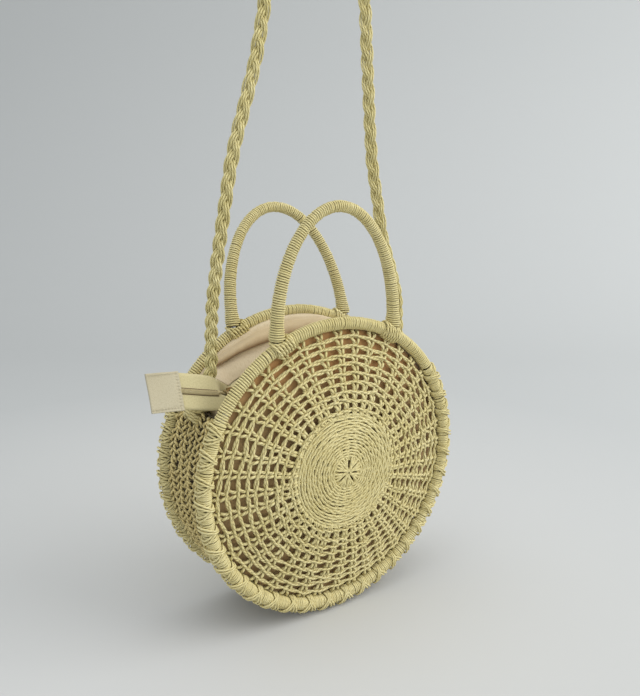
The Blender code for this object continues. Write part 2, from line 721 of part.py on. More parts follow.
def make_handle(side_name, handle):
    arch = handle_points()
    core_start = -HANDLE_BALL_RADIUS + HANDLE_SEAT_WALL + TOUCH_GAP
    ball_shares = (-0.85, -0.55, -0.2, 0.2, 0.45)
    ball_heights = [HANDLE_BALL_RADIUS * share for share in ball_shares]
    neck = math.sqrt(HANDLE_BALL_RADIUS ** 2 - HANDLE_RADIUS ** 2)

    def ball_radius(height):
        return math.sqrt(HANDLE_BALL_RADIUS ** 2 - height ** 2)

    left = [Vector((-HANDLE_HALF_SPAN, 0, height)) for height in [*ball_heights, neck]]
    right = [Vector((HANDLE_HALF_SPAN, 0, height)) for height in [neck, *reversed(ball_heights)]]
    radii = [ball_radius(height) for height in ball_heights] + [HANDLE_RADIUS]
    above = [point for point in arch if point.z > neck + HANDLE_RADIUS / 2]
    outer_points = left + above + right
    outer_radii = radii + [HANDLE_RADIUS] * len(above) + radii[::-1]
    bore_start = Vector((0, 0, TOUCH_GAP))
    bore_points = [left[0] + bore_start, *[point for point in arch if point.z > 0], right[-1] + bore_start]
    bm = bmesh.new()
    outer = add_tube(bm, frames_along(outer_points), outer_radii, WRAP_SIDES)
    bore_radii = [WRAP_BORE_RADIUS] * len(bore_points)
    bore = add_tube(bm, frames_along(bore_points), bore_radii, WRAP_SIDES)
    join_ends(bm, outer, bore)
    solid(side_name + "_handle_wrap", bm, handle, "straw_cord")
    ends = [Vector((end * HANDLE_HALF_SPAN, 0, core_start)) for end in (LEFT, RIGHT)]
    core_points = [ends[0], *[point for point in arch if point.z > 0], ends[1]]
    bm = bmesh.new()
    rings = add_tube(bm, frames_along(core_points), [WIRE_RADIUS] * len(core_points), WIRE_SIDES)
    close_ends(bm, rings)
    solid(side_name + "_handle_core", bm, handle, "hoop_steel")


def seat_cutter_name(side):
    return "cutter_seats_front" if side == FRONT else "cutter_seats_back"


def make_seat_cutters(bag):
    for side in (FRONT, BACK):
        bm = bmesh.new()
        for end in (LEFT, RIGHT):
            place = Vector((end * HANDLE_HALF_SPAN, hoop_depth(side), foot_height()))
            bmesh.ops.create_uvsphere(
                bm, u_segments=12, v_segments=8, radius=HANDLE_BALL_RADIUS + TOUCH_GAP,
                matrix=Matrix.Translation(place),
            )
        cutter(seat_cutter_name(side), bm, bag)


def make_foot_lashing(name, side, end, bag):
    """Cord bound over the hoop on both sides of a handle's foot, open where the foot's ball turns."""
    inner = RIM_WRAP_RADIUS + TOUCH_GAP
    turns = spread(-LASHING_HALF_COVER, LASHING_HALF_COVER, 8)
    depth = hoop_depth(side)
    outer_arc = [
        (HOOP_RADIUS + LASHING_RADIUS * math.cos(turn), depth + LASHING_RADIUS * math.sin(turn))
        for turn in turns
    ]
    inner_arc = [
        (HOOP_RADIUS + inner * math.cos(turn), depth + inner * math.sin(turn))
        for turn in reversed(turns)
    ]
    half_angle = LASHING_HALF_LENGTH / HOOP_RADIUS
    bm = bmesh.new()
    spin_outline(bm, outer_arc + inner_arc, foot_angle(end) - half_angle, 2 * half_angle, 4)
    made = solid(name, bm, bag, "straw_cord")
    cut(made, bpy.data.objects[seat_cutter_name(side)])


# Strap


def smooth_route(points, spacing, most_turn=math.pi):
    """Points at most a spacing or a turn apart, on a smooth curve through a route's points, and its length."""
    curve = []
    for index in range(len(points) - 1):
        before = points[max(index - 1, 0)]
        start = points[index]
        end = points[index + 1]
        after = points[min(index + 2, len(points) - 1)]
        for step in range(12):
            t = step / 12
            curve.append(0.5 * (
                2 * start + (end - before) * t
                + (2 * before - 5 * start + 4 * end - after) * t ** 2
                + (3 * start - before - 3 * end + after) * t ** 3
            ))
    curve.append(points[-1])
    steps = [far - near for near, far in zip(curve, curve[1:])]
    total = sum(step.length for step in steps)
    even_spacing = total / math.ceil(total / spacing)
    placed = [curve[0]]
    walked = 0
    turned = 0
    for near, step, following in zip(curve, steps, steps[1:] + steps[-1:]):
        walked += step.length
        turned += step.angle(following)
        if walked + step.length / 2 > even_spacing or turned > most_turn:
            placed.append(near + step)
            walked = 0
            turned = 0
    if (placed[-1] - curve[-1]).length < even_spacing / 2:
        placed.pop()
    placed.append(curve[-1])
    return placed, total


def strap_seat(end):
    """Where a fixed end of the strap starts, just above the end of the gusset."""
    lift = GUSSET_END_ANGLE + TOUCH_GAP / STRAP_SEAT_RADIUS
    angle = lift if end == RIGHT else math.pi - lift
    return rim_point(angle, radius=STRAP_SEAT_RADIUS)


def strap_end_points(end, run):
    points = [strap_seat(end)] + [Vector((end * out, 0, height)) for out, height in run]
    placed, total = smooth_route(points, STRAP_RADIUS)
    return placed, total


def make_strap_end(name, end, run, bag):
    """The strap's fixed end: a tube from the gusset to the bend, which ends in a half ball there."""
    points, total = strap_end_points(end, run)
    cap_shares = (0.4, 0.75, 0.95)
    cap = [points[-1] + Vector((0, 0, STRAP_RADIUS * share)) for share in cap_shares]
    radii = [STRAP_RADIUS] * len(points)
    radii += [STRAP_RADIUS * math.sqrt(1 - share ** 2) for share in cap_shares]
    bm = bmesh.new()
    frames = frames_along(points)
    frames[-1] = frame_at(points[-1], Vector((0, 0, 1)), ALONG_Y)
    frames += [frame_at(point, Vector((0, 0, 1)), ALONG_Y) for point in cap]
    frames[0] = frame_at(points[0], seat_direction(end), ALONG_Y)
    close_ends(bm, add_tube(bm, frames, radii, 10))
    solid(name, bm, bag, "straw_braid")
    return total


def make_strap(strap):
    """The free run, from just above one bend, over the top of the loop, to just above the other."""
    lift = Vector((0, 0, STRAP_RADIUS + TOUCH_GAP))
    points = [Vector((x, 0, height)) for x, height in STRAP_RUN]
    points[0] += lift
    points[-1] += lift
    placed, total = smooth_route(points, STRAP_POINT_SPACING, STRAP_MOST_TURN)
    made = make_curve_tube("strap_braid", placed, STRAP_RADIUS, 3, strap, "straw_braid")
    made.location = (0, 0, -STRAP_TOP_HEIGHT)
    return total


def seat_direction(end):
    """The way the strap leaves its knot: along the gusset, upwards and inwards."""
    return Vector((-end * math.sin(GUSSET_END_ANGLE), 0, math.cos(GUSSET_END_ANGLE)))


def make_knot(name, end, bag):
    """Cord bound round the strap's end and through the end of the gusset, which sits in its slot."""
    seat = strap_seat(end)
    along = seat_direction(end)
    outward = seat.normalized()
    outer_radius = STRAP_SEAT_RADIUS + STRAP_RADIUS + TOUCH_GAP + KNOT_WALL
    height = outer_radius - KNOT_INNER_RADIUS
    middle = seat + along * (KNOT_LENGTH / 2 - KNOT_BELOW)
    middle += outward * ((outer_radius + KNOT_INNER_RADIUS) / 2 - STRAP_SEAT_RADIUS)
    bm = bmesh.new()
    add_box(bm, (KNOT_WIDTH, height, KNOT_LENGTH), frame_at(middle, along, ALONG_Y), KNOT_ROUNDING)
    made = solid(name, bm, bag, "straw_cord")
    bore_length = KNOT_LENGTH - KNOT_BELOW + CUT_OVERRUN
    bore_middle = seat + along * (bore_length / 2 - TOUCH_GAP)
    bm = bmesh.new()
    bmesh.ops.create_cone(
        bm, cap_ends=True, segments=20, radius1=STRAP_RADIUS + 2 * TOUCH_GAP,
        radius2=STRAP_RADIUS + 2 * TOUCH_GAP, depth=bore_length,
        matrix=frame_at(bore_middle, along, ALONG_Y),
    )
    cut(made, cutter("cutter_bore_" + name, bm, bag))
    low = HOOP_RADIUS - GUSSET_THICKNESS / 2 - TOUCH_GAP
    outline = band_outline(low, low + GUSSET_THICKNESS + 2 * TOUCH_GAP, KNOT_WIDTH)
    reach = (KNOT_BELOW + CUT_OVERRUN) / HOOP_RADIUS
    start = GUSSET_END_ANGLE - reach if end == RIGHT else math.pi - GUSSET_END_ANGLE
    bm = bmesh.new()
    spin_outline(bm, outline, start, reach, 2)
    cut(made, cutter("cutter_slot_" + name, bm, bag))


def build():
    clear_scene()
    bag_place = Vector((0, 0, -STRAP_TOP_HEIGHT))
    strap = empty("strap_frame", (0, 0, 0))
    swing = empty("bag_swing_axis", bag_place + Vector((0, 0, SWING_HEIGHT)))
    bag = empty("bag_frame", (0, 0, -SWING_HEIGHT), swing)
    make_seat_cutters(bag)
    for side_name, side in (("front", FRONT), ("back", BACK)):
        make_hoop_wire(side_name + "_hoop_wire", side, bag)
        make_top_wrap(side_name + "_rim_wrap_top", side, bag)
        make_lower_wrap(side_name + "_rim_wrap_lower", side, bag)
        make_panel(side_name, side, bag)
        for end_name, end in (("left", LEFT), ("right", RIGHT)):
            make_foot_lashing(side_name + "_" + end_name + "_foot_lashing", side, end, bag)
    make_gusset(bag)
    make_lining(bag)
    make_mouth(bag)
    make_coils(bag)
    make_end_stop(bag)
    make_end_tab(bag)
    slider = empty("zip_slider_frame", (-ZIP_HALF_RUN, ZIP_OFFSET, ZIP_HEIGHT), bag)
    make_slider(slider)
    puller = empty("zip_puller_axis", (0, 0, puller_axis_height()), slider)
    make_puller(puller)
    for side_name, side, lean in (
        ("front", FRONT, FRONT_HANDLE_LEAN), ("back", BACK, -BACK_HANDLE_LEAN)
    ):
        handle = empty(side_name + "_handle_axis", (0, hoop_depth(side), foot_height()), bag)
        handle.rotation_euler = (lean, 0, 0)
        make_handle(side_name, handle)
    left_length = make_strap_end("strap_end_left", LEFT, LEFT_END_RUN, bag)
    right_length = make_strap_end("strap_end_right", RIGHT, RIGHT_END_RUN, bag)
    make_knot("strap_knot_left", LEFT, bag)
    make_knot("strap_knot_right", RIGHT, bag)
    free_length = make_strap(strap)
    print("strap length, whole and free:", left_length + free_length + right_length, free_length)


build()
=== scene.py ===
import math

import bmesh
import bpy
import numpy as np
from mathutils import Matrix, Vector


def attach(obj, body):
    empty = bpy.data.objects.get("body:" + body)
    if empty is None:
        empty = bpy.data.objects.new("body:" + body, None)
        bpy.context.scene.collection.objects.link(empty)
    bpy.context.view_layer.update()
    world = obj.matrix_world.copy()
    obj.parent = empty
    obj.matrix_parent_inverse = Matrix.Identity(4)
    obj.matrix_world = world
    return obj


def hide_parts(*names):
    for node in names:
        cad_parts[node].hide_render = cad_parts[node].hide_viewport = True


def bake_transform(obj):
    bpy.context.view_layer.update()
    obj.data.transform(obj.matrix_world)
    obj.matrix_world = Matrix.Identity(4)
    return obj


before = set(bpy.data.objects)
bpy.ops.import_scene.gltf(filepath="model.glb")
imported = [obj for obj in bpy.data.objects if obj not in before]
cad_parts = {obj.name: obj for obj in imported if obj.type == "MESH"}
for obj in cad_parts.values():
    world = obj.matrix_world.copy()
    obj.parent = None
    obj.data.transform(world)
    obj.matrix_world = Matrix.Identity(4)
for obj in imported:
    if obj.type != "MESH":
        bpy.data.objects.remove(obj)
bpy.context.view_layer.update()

# The bag's own frame: its origin is the centre of its hoops. The strap's top is the origin of the part.
BAG_CENTRE = np.array((0.0, 0.0, -0.6437))
HOOP_RADIUS = 0.1202
HALF_DEPTH = 0.036
GUSSET_END = math.radians(28)
ALONG_Y = np.array((0.0, 1.0, 0.0))
FULL_TURN = 2 * math.pi
LEFT, RIGHT = -1, 1
FRONT, BACK = -1, 1
SIDES = (("front", FRONT), ("back", BACK))
# Cords in painted shade have their UV map set back this far, and the straw finishes colour them dark.
IN_SHADE = 10.0
chance = np.random.default_rng(11)


def new_object(name, data):
    made = bpy.data.objects.new(name, data)
    bpy.context.scene.collection.objects.link(made)
    return made


# Camera

CAMERA_PLACE = (-0.3403, -0.5079, -0.4110)
CAMERA_AIM = (0.5510, 0.8047, -0.2209)
CAMERA_ROLL = math.radians(0.384)


def place_camera():
    """The camera of the photograph, from a fit of the hoops, handles and strap."""
    forward = Vector(CAMERA_AIM).normalized()
    level = forward.cross(Vector((0, 0, 1))).normalized()
    upright = level.cross(forward)
    right = math.cos(CAMERA_ROLL) * level + math.sin(CAMERA_ROLL) * upright
    up = -math.sin(CAMERA_ROLL) * level + math.cos(CAMERA_ROLL) * upright
    data = bpy.data.cameras.new("photo_camera")
    data.lens = 38.28
    data.sensor_width = 36
    data.sensor_fit = "AUTO"
    data.clip_start = 0.01
    camera = new_object("photo_camera", data)
    turn = Matrix((right, up, -forward)).transposed().to_4x4()
    camera.matrix_world = Matrix.Translation(CAMERA_PLACE) @ turn
    bpy.context.scene.camera = camera


place_camera()


# Lines of points that cords follow

CURVE_STEPS = 12
SLIP_SHARE, SLIP_EVERY, SLIP_MARGIN = 0.07, 3.3, 9
SWAY, SWAY_EVERY, SWAY_MARGIN = 0.00012, 2.1, 7


def unit(vectors):
    return vectors / np.linalg.norm(vectors, axis=-1, keepdims=True)


def smooth_share(value):
    share = np.clip(value, 0, 1)
    return share * share * (3 - 2 * share)


def walked(line):
    """Distance along a line at each of its points."""
    steps = np.linalg.norm(np.diff(line, axis=0), axis=1)
    return np.concatenate(([0.0], np.cumsum(steps)))


def points_at(line, far, places):
    """Points of a line at some distances along it. Far is the distance of its own points."""
    return np.stack([np.interp(places, far, line[:, axis]) for axis in range(3)], axis=1)


def even_line(line, spacing):
    """The same line with its points a fixed distance apart."""
    far = walked(line)
    count = max(int(round(far[-1] / spacing)), 2)
    return points_at(line, far, np.linspace(0, far[-1], count + 1))


def smooth_line(points):
    """A smooth curve through the points."""
    points = np.asarray(points, float)
    found = []
    for index in range(len(points) - 1):
        before = points[max(index - 1, 0)]
        start, end = points[index], points[index + 1]
        after = points[min(index + 2, len(points) - 1)]
        t = np.arange(CURVE_STEPS)[:, None] / CURVE_STEPS
        found.append(0.5 * (
            2 * start + (end - before) * t + (2 * before - 5 * start + 4 * end - after) * t ** 2
            + (3 * start - before - 3 * end + after) * t ** 3
        ))
    return np.concatenate([*found, points[-1:]])


def ring_points(radius, angle, across):
    """Points about the bag's axis: at a radius and an angle, and at a place across the bag."""
    return np.stack(np.broadcast_arrays(radius * np.cos(angle), across, radius * np.sin(angle)), axis=-1)


def sides_of(line, side=ALONG_Y):
    """Two directions square to a line at each of its points: the first lies in the plane square to side."""
    along = unit(np.gradient(line, axis=0))
    first = unit(np.cross(along, side))
    return first, np.cross(first, along)


def uneven_turns(turn, every, margin):
    """Random amounts along a winding: a new one after each step of its turn, and even between them."""
    knots = np.arange(0, turn[-1] + margin, every)
    return np.interp(turn, knots, chance.normal(size=len(knots)))


def wound_line(line, reach, pitch, per_turn=11, side=ALONG_Y):
    """A cord wound round a line. The reach from the line may change along it."""
    far = walked(line)
    places = np.linspace(0, far[-1], int(far[-1] / pitch * per_turn) + 1)
    turn = FULL_TURN * places / pitch
    free = np.sin(math.pi * places / far[-1]) ** 0.2
    slipped = places + SLIP_SHARE * pitch * uneven_turns(turn, SLIP_EVERY, SLIP_MARGIN) * free
    first, second = sides_of(points_at(line, far, places), side)
    distance = reach(places / far[-1]) if callable(reach) else np.full(len(places), reach)
    distance = (distance + SWAY * uneven_turns(turn, SWAY_EVERY, SWAY_MARGIN))[:, None]
    round_it = np.cos(turn)[:, None] * first + np.sin(turn)[:, None] * second
    return points_at(line, far, slipped) + distance * round_it


# Meshes


def add_cords(bm, lines, radius, closed=False, roundness=1, shaded=False):
    """Adds round cords along lines. Their UV map runs in metres along the cord, and once round it.

    The radius may change from point to point. Cords that lie in the shade of others carry painted shade: their
    UV map is set back by IN_SHADE, which the straw finishes read to colour them dark.
    """
    data = bpy.data.curves.new("cord_lines", "CURVE")
    data.dimensions = "3D"
    data.bevel_depth = 1.0
    data.bevel_resolution = roundness
    data.use_fill_caps = True
    for line in lines:
        spline = data.splines.new("POLY")
        spline.points.add(len(line) - 1)
        spots = np.ones((len(line), 4), np.float32)
        spots[:, :3] = line
        spline.points.foreach_set("co", spots.ravel())
        spline.points.foreach_set("radius", np.array(np.broadcast_to(radius, len(line)), np.float32))
        spline.use_cyclic_u = closed
    holder = bpy.data.objects.new("cord_lines", data)
    mesh = bpy.data.meshes.new_from_object(holder)
    length = np.mean([walked(line)[-1] for line in lines])
    layer = mesh.uv_layers[0].data
    places = np.empty(len(layer) * 2, np.float32)
    layer.foreach_get("uv", places)
    places[0::2] = places[0::2] * length - (IN_SHADE if shaded else 0)
    layer.foreach_set("uv", places)
    bm.from_mesh(mesh)
    bpy.data.meshes.remove(mesh)
    bpy.data.objects.remove(holder)
    bpy.data.curves.remove(data)


def add_piece(name, bm, finish):
    """Turns a bmesh made in the bag's frame into a piece of the part."""
    bmesh.ops.translate(bm, verts=bm.verts, vec=Vector(BAG_CENTRE))
    mesh = bpy.data.meshes.new(name)
    bm.to_mesh(mesh)
    bm.free()
    mesh.shade_smooth()
    mesh.materials.append(finish)
    return new_object(name, mesh)


def settle(piece, body, slot, *stands_for):
    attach(piece, body)
    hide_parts(*stands_for)
    return piece


# Shaded cords carry painted shade. A shaded core is a dark tube of painted shade under a winding, seen between
# its turns.
OPEN, LOOP, SHADED = {}, {"closed": True}, {"shaded": True}
SHADED_CORE = {"shaded": True, "roundness": 4}


def cord_piece(name, finish, bundles, *stands_for, body="bag", slot="straw_cord"):
    """A piece made of bundles of cords: the lines of each, their radius, and how they are made."""
    bm = bmesh.new()
    for lines, radius, ways in bundles:
        add_cords(bm, lines, radius, **ways)
    return settle(add_piece(name, bm, finish), body, slot, *stands_for)


# Nodes for the finishes


def new_group(name, inputs, outputs):
    """An empty node group. Inputs with a default are plain values, the others vectors. Outputs are values."""
    tree = bpy.data.node_groups.new(name, "ShaderNodeTree")
    for label, default in inputs.items():
        kind = "NodeSocketVector" if default is None else "NodeSocketFloat"
        made = tree.interface.new_socket(label, in_out="INPUT", socket_type=kind)
        if default is not None:
            made.default_value = default
    for label in outputs:
        tree.interface.new_socket(label, in_out="OUTPUT", socket_type="NodeSocketFloat")
    return tree, tree.nodes.new("NodeGroupInput").outputs, tree.nodes.new("NodeGroupOutput").inputs


def add_node(tree, kind, values=(), **settings):
    made = tree.nodes.new(kind)
    for setting, value in settings.items():
        setattr(made, setting, value)
    for index, value in values:
        if isinstance(value, bpy.types.NodeSocket):
            tree.links.new(value, made.inputs[index])
        else:
            made.inputs[index].default_value = value
    return made


def calculate(tree, operation, first, second=0.0):
    return add_node(tree, "ShaderNodeMath", [(0, first), (1, second)], operation=operation).outputs[0]


def multiplied(tree, first, second):
    return calculate(tree, "MULTIPLY", first, second)


def add_share(tree, base, value, share):
    """The base, and a share of a value on top of it."""
    return calculate(tree, "ADD", base, multiplied(tree, value, share))


def graded(tree, value, low, high):
    """0 where the value is at low, 1 where it is at high, and even between them."""
    made = add_node(tree, "ShaderNodeMapRange", [(0, value), (1, low), (2, high), (3, 0.0), (4, 1.0)])
    return made.outputs[0]


def blend_colours(tree, share, first, second):
    """Mixes two colours. Each is a socket or three values."""
    values = [(0, share)]
    for index, tone in ((6, first), (7, second)):
        values.append((index, tone if isinstance(tone, bpy.types.NodeSocket) else (*tone, 1)))
    return add_node(tree, "ShaderNodeMix", values, data_type="RGBA").outputs[2]


def split(tree, vector):
    return add_node(tree, "ShaderNodeSeparateXYZ", [(0, vector)]).outputs


def add_noise(tree, place, scale, detail):
    made = add_node(tree, "ShaderNodeTexNoise", [("Vector", place), ("Scale", scale), ("Detail", detail)])
    return made.outputs[0]


def add_bump(tree, shader, height, strength, distance):
    values = [("Strength", strength), ("Distance", distance), ("Height", height)]
    tree.links.new(add_node(tree, "ShaderNodeBump", values).outputs[0], shader.inputs["Normal"])


def new_finish(name, roughness, metallic=0.0):
    made = bpy.data.materials.new(name)
    made.use_nodes = True
    tree = made.node_tree
    shader = tree.nodes["Principled BSDF"]
    shader.inputs["Roughness"].default_value = roughness
    shader.inputs["Metallic"].default_value = metallic
    return made, tree, shader, tree.nodes.new("ShaderNodeTexCoord").outputs


def make_ply_group():
    """Twisted plies of a straw cord: rounded ridges that run slanting round it, and its dry fibres."""
    tree, given, result = new_group(
        "twisted_plies",
        {"Along": None, "Pitch": 0.004, "Plies": 2.0}, ["Height", "Groove", "Fibre"],
    )
    along, around = split(tree, given["Along"])[:2]
    turns = calculate(tree, "DIVIDE", along, given["Pitch"])
    slant = calculate(tree, "ADD", turns, multiplied(tree, around, given["Plies"]))
    wave = calculate(tree, "SINE", multiplied(tree, slant, math.pi))
    height = calculate(tree, "POWER", calculate(tree, "ABSOLUTE", wave), 0.6)
    groove = calculate(tree, "SUBTRACT", 1.0, graded(tree, height, 0.25, 0.75))
    streaks = [(0, multiplied(tree, turns, 1.6)), (1, multiplied(tree, slant, 7.0))]
    fibre = add_noise(tree, add_node(tree, "ShaderNodeCombineXYZ", streaks).outputs[0], scale=1.0, detail=3.0)
    for label, value in (("Height", height), ("Groove", groove), ("Fibre", fibre)):
        tree.links.new(value, result[label])
    return tree


def make_weave_group():
    """Plain weave of fine cotton: crossing threads that read a piece's UV map in metres, and slubs."""
    tree, given, result = new_group(
        "fine_weave",
        {"Place": None, "Threads": 1600.0}, ["Height", "Slub"],
    )
    waves = []
    for part in split(tree, given["Place"])[:2]:
        phase = multiplied(tree, part, given["Threads"])
        waves.append(calculate(tree, "SINE", multiplied(tree, phase, math.pi)))
    crossing = multiplied(tree, *waves)
    slub = add_noise(tree, given["Place"], scale=900.0, detail=4.0)
    tree.links.new(add_share(tree, multiplied(tree, crossing, 0.6), slub, 0.4), result["Height"])
    tree.links.new(slub, result["Slub"])
    return tree


ply_group = make_ply_group()
weave_group = make_weave_group()


# Finishes

# Heights where the lining's painted light starts and is full, and how ragged its lower edge is.
LINING_LIGHT_FROM = BAG_CENTRE[2] + 0.045
LINING_LIGHT_TO = BAG_CENTRE[2] + 0.100
LINING_LIGHT_RAGGED = 0.12
FLAP_DEPTH = 0.035
GUSSET_TOP = BAG_CENTRE[2] + HOOP_RADIUS * math.sin(GUSSET_END)
SHADED_EDGE = 0.003
# Share of the dark tone that cords in painted shade keep.
UNDER_SHADE_SHARE = 0.40


def make_straw(name, dark, middle, pale, ply_pitch=0.0042, depth=0.00035, shadow=0.75):
    """Twisted paper straw: pale ridges, grooves in painted shade, and tones that drift from cord to cord."""
    made, tree, shader, where = new_finish(name, 0.62)
    ply = add_node(
        tree, "ShaderNodeGroup", [("Along", where["UV"]), ("Pitch", ply_pitch)], node_tree=ply_group,
    ).outputs
    drift = add_noise(tree, where["Object"], scale=55.0, detail=4.0)
    broad = add_noise(tree, where["Object"], scale=9.0, detail=2.0)
    tone = add_share(tree, multiplied(tree, drift, 0.7), broad, 0.3)
    ground = blend_colours(tree, graded(tree, tone, 0.35, 0.65), middle, pale)
    streaked = blend_colours(tree, graded(tree, ply["Fibre"], 0.62, 0.40), ground, middle)
    # Painted shade in the grooves between the plies.
    whole = blend_colours(tree, multiplied(tree, ply["Groove"], shadow), streaked, dark)
    # Painted shade: cords set back by IN_SHADE take a share of the dark tone.
    lit = graded(tree, split(tree, where["UV"])[0], -0.6 * IN_SHADE, -0.4 * IN_SHADE)
    whole = blend_colours(tree, lit, [UNDER_SHADE_SHARE * part for part in dark], whole)
    tree.links.new(whole, shader.inputs["Base Color"])
    tree.links.new(add_share(tree, 0.5, ply["Fibre"], 0.35), shader.inputs["Roughness"])
    add_bump(tree, shader, add_share(tree, ply["Height"], ply["Fibre"], 0.5), strength=0.9, distance=depth)
    return made


def make_cotton(name, shade, middle, pale, threads=1500.0):
    """Plain-woven cotton: two tones in broad patches, and thin places that show the darkest."""
    made, tree, shader, where = new_finish(name, 0.86)
    weave = add_node(
        tree, "ShaderNodeGroup", [("Place", where["UV"]), ("Threads", threads)], node_tree=weave_group,
    ).outputs
    broad = add_noise(tree, where["Object"], scale=22.0, detail=3.0)
    ground = blend_colours(tree, graded(tree, broad, 0.3, 0.7), middle, pale)
    thin = multiplied(tree, graded(tree, weave["Slub"], 0.55, 0.35), 0.45)
    tree.links.new(blend_colours(tree, thin, ground, shade), shader.inputs["Base Color"])
    add_bump(tree, shader, weave["Height"], strength=0.35, distance=0.0002)
    shader.inputs["Sheen Weight"].default_value = 0.15
    return made


def open_finish(made, coordinates):
    """A finish's node tree, its colour socket, the colour that reaches it, and coordinates of one kind."""
    tree = made.node_tree
    base = tree.nodes["Principled BSDF"].inputs["Base Color"]
    where = tree.nodes.new("ShaderNodeTexCoord").outputs[coordinates]
    return tree, base, base.links[0].from_socket, where


def make_lining_finish():
    """Brown cotton behind the mesh, with painted light: warmer and brighter near the mouth, where light comes
    through it.
    """
    made = make_cotton(
        "lining_cotton_finish", (0.180, 0.112, 0.046), (0.330, 0.212, 0.092), (0.450, 0.305, 0.138),
    )
    tree, base, plain, where = open_finish(made, "Object")
    patch = calculate(tree, "SUBTRACT", add_noise(tree, where, scale=26.0, detail=2.0), 0.5)
    height = add_share(tree, split(tree, where)[2], patch, LINING_LIGHT_RAGGED)
    # Painted light: a warm, bright tone towards the mouth, with a ragged edge.
    painted_light = graded(tree, height, LINING_LIGHT_FROM, LINING_LIGHT_TO)
    tree.links.new(blend_colours(tree, painted_light, plain, (0.500, 0.270, 0.100)), base)
    return made


def make_pocket_finish():
    """The lining strip's cotton: dark with painted shade behind the gusset, and pale at the ends of the mouth.
    """
    # Tones in painted deep shade.
    made = make_cotton(
        "pocket_cotton_finish", (0.050, 0.033, 0.012), (0.085, 0.060, 0.022), (0.130, 0.095, 0.038),
    )
    tree, base, plain, where = open_finish(made, "Object")
    above = graded(tree, split(tree, where)[2], GUSSET_TOP - SHADED_EDGE, GUSSET_TOP)
    tree.links.new(blend_colours(tree, above, plain, (0.560, 0.450, 0.290)), base)
    return made


def make_flap_finish():
    """The back flap's cotton, with painted shade: browner above its crease, and dark brown along it."""
    made = make_cotton("back_flap_finish", (0.510, 0.400, 0.245), (0.610, 0.500, 0.330), (0.680, 0.575, 0.395))
    tree, base, plain, where = open_finish(made, "UV")
    down = calculate(tree, "DIVIDE", split(tree, where)[1], FLAP_DEPTH)
    down = add_share(tree, down, add_noise(tree, where, scale=60.0, detail=2.0), 0.16)
    # Painted shade: a brown band above the crease, and a darker one along it, where the fold shades the cloth.
    above = multiplied(tree, graded(tree, down, 0.14, 0.24), graded(tree, down, 0.66, 0.58))
    near = multiplied(tree, graded(tree, down, 0.42, 0.55), graded(tree, down, 0.70, 0.62))
    crease_shaded = blend_colours(tree, multiplied(tree, above, 0.60), plain, (0.430, 0.310, 0.150))
    crease_shaded = blend_colours(tree, multiplied(tree, near, 0.85), crease_shaded, (0.250, 0.135, 0.048))
    tree.links.new(crease_shaded, base)
    return made


def make_metal(name, colour, worn, roughness):
    made, tree, shader, where = new_finish(name, roughness, 1.0)
    scratch = add_noise(tree, where["Object"], scale=900.0, detail=4.0)
    patch = add_noise(tree, where["Object"], scale=260.0, detail=2.0)
    whole = blend_colours(tree, graded(tree, patch, 0.4, 0.65), colour, worn)
    tree.links.new(whole, shader.inputs["Base Color"])
    tree.links.new(add_share(tree, roughness - 0.1, scratch, 0.25), shader.inputs["Roughness"])
    add_bump(tree, shader, scratch, strength=0.15, distance=0.0001)
    return made


straw = make_straw("straw_cord_finish", (0.280, 0.205, 0.080), (0.655, 0.563, 0.248), (0.850, 0.768, 0.436))
wound_straw = make_straw(
    "wound_cord_finish", (0.330, 0.250, 0.095), (0.662, 0.572, 0.260), (0.850, 0.772, 0.440),
    ply_pitch=0.0045, depth=0.00022, shadow=0.50,
)
braid_straw = make_straw(
    "straw_braid_finish", (0.240, 0.175, 0.060), (0.640, 0.555, 0.240), (0.840, 0.760, 0.420),
    ply_pitch=0.0050, depth=0.00018, shadow=0.60,
)
gusset_straw = make_straw(
    "gusset_cord_finish", (0.110, 0.070, 0.020), (0.620, 0.490, 0.190), (0.860, 0.745, 0.370),
    ply_pitch=0.0036,
)
lining_cotton = make_lining_finish()
pocket_cotton = make_pocket_finish()
flap_cotton = make_cotton(
    "flap_cotton_finish", (0.470, 0.350, 0.200), (0.590, 0.460, 0.280), (0.660, 0.540, 0.350),
)
back_flap_cotton = make_flap_finish()
tab_cotton = make_cotton(
    "tab_cotton_finish", (0.395, 0.345, 0.225), (0.475, 0.420, 0.280), (0.525, 0.470, 0.325),
)
tape_cloth = make_cotton(
    "zip_tape_finish", (0.440, 0.380, 0.190), (0.540, 0.470, 0.245), (0.600, 0.530, 0.295), threads=1900.0,
)
coil_nylon = make_cotton(
    "zip_coil_finish", (0.330, 0.250, 0.120), (0.500, 0.410, 0.210), (0.560, 0.470, 0.250), threads=900.0,
)
brown_thread = make_cotton(
    "brown_thread_finish", (0.090, 0.050, 0.020), (0.140, 0.085, 0.036), (0.190, 0.120, 0.055), threads=900.0,
)
slider_metal = make_metal("slider_metal_finish", (0.55, 0.43, 0.26), (0.68, 0.56, 0.36), 0.32)
hoop_steel = make_metal("hoop_steel_finish", (0.42, 0.43, 0.44), (0.52, 0.53, 0.54), 0.38)


# Strap: one plait of three strands, from the left end of the gusset over its top to the right end

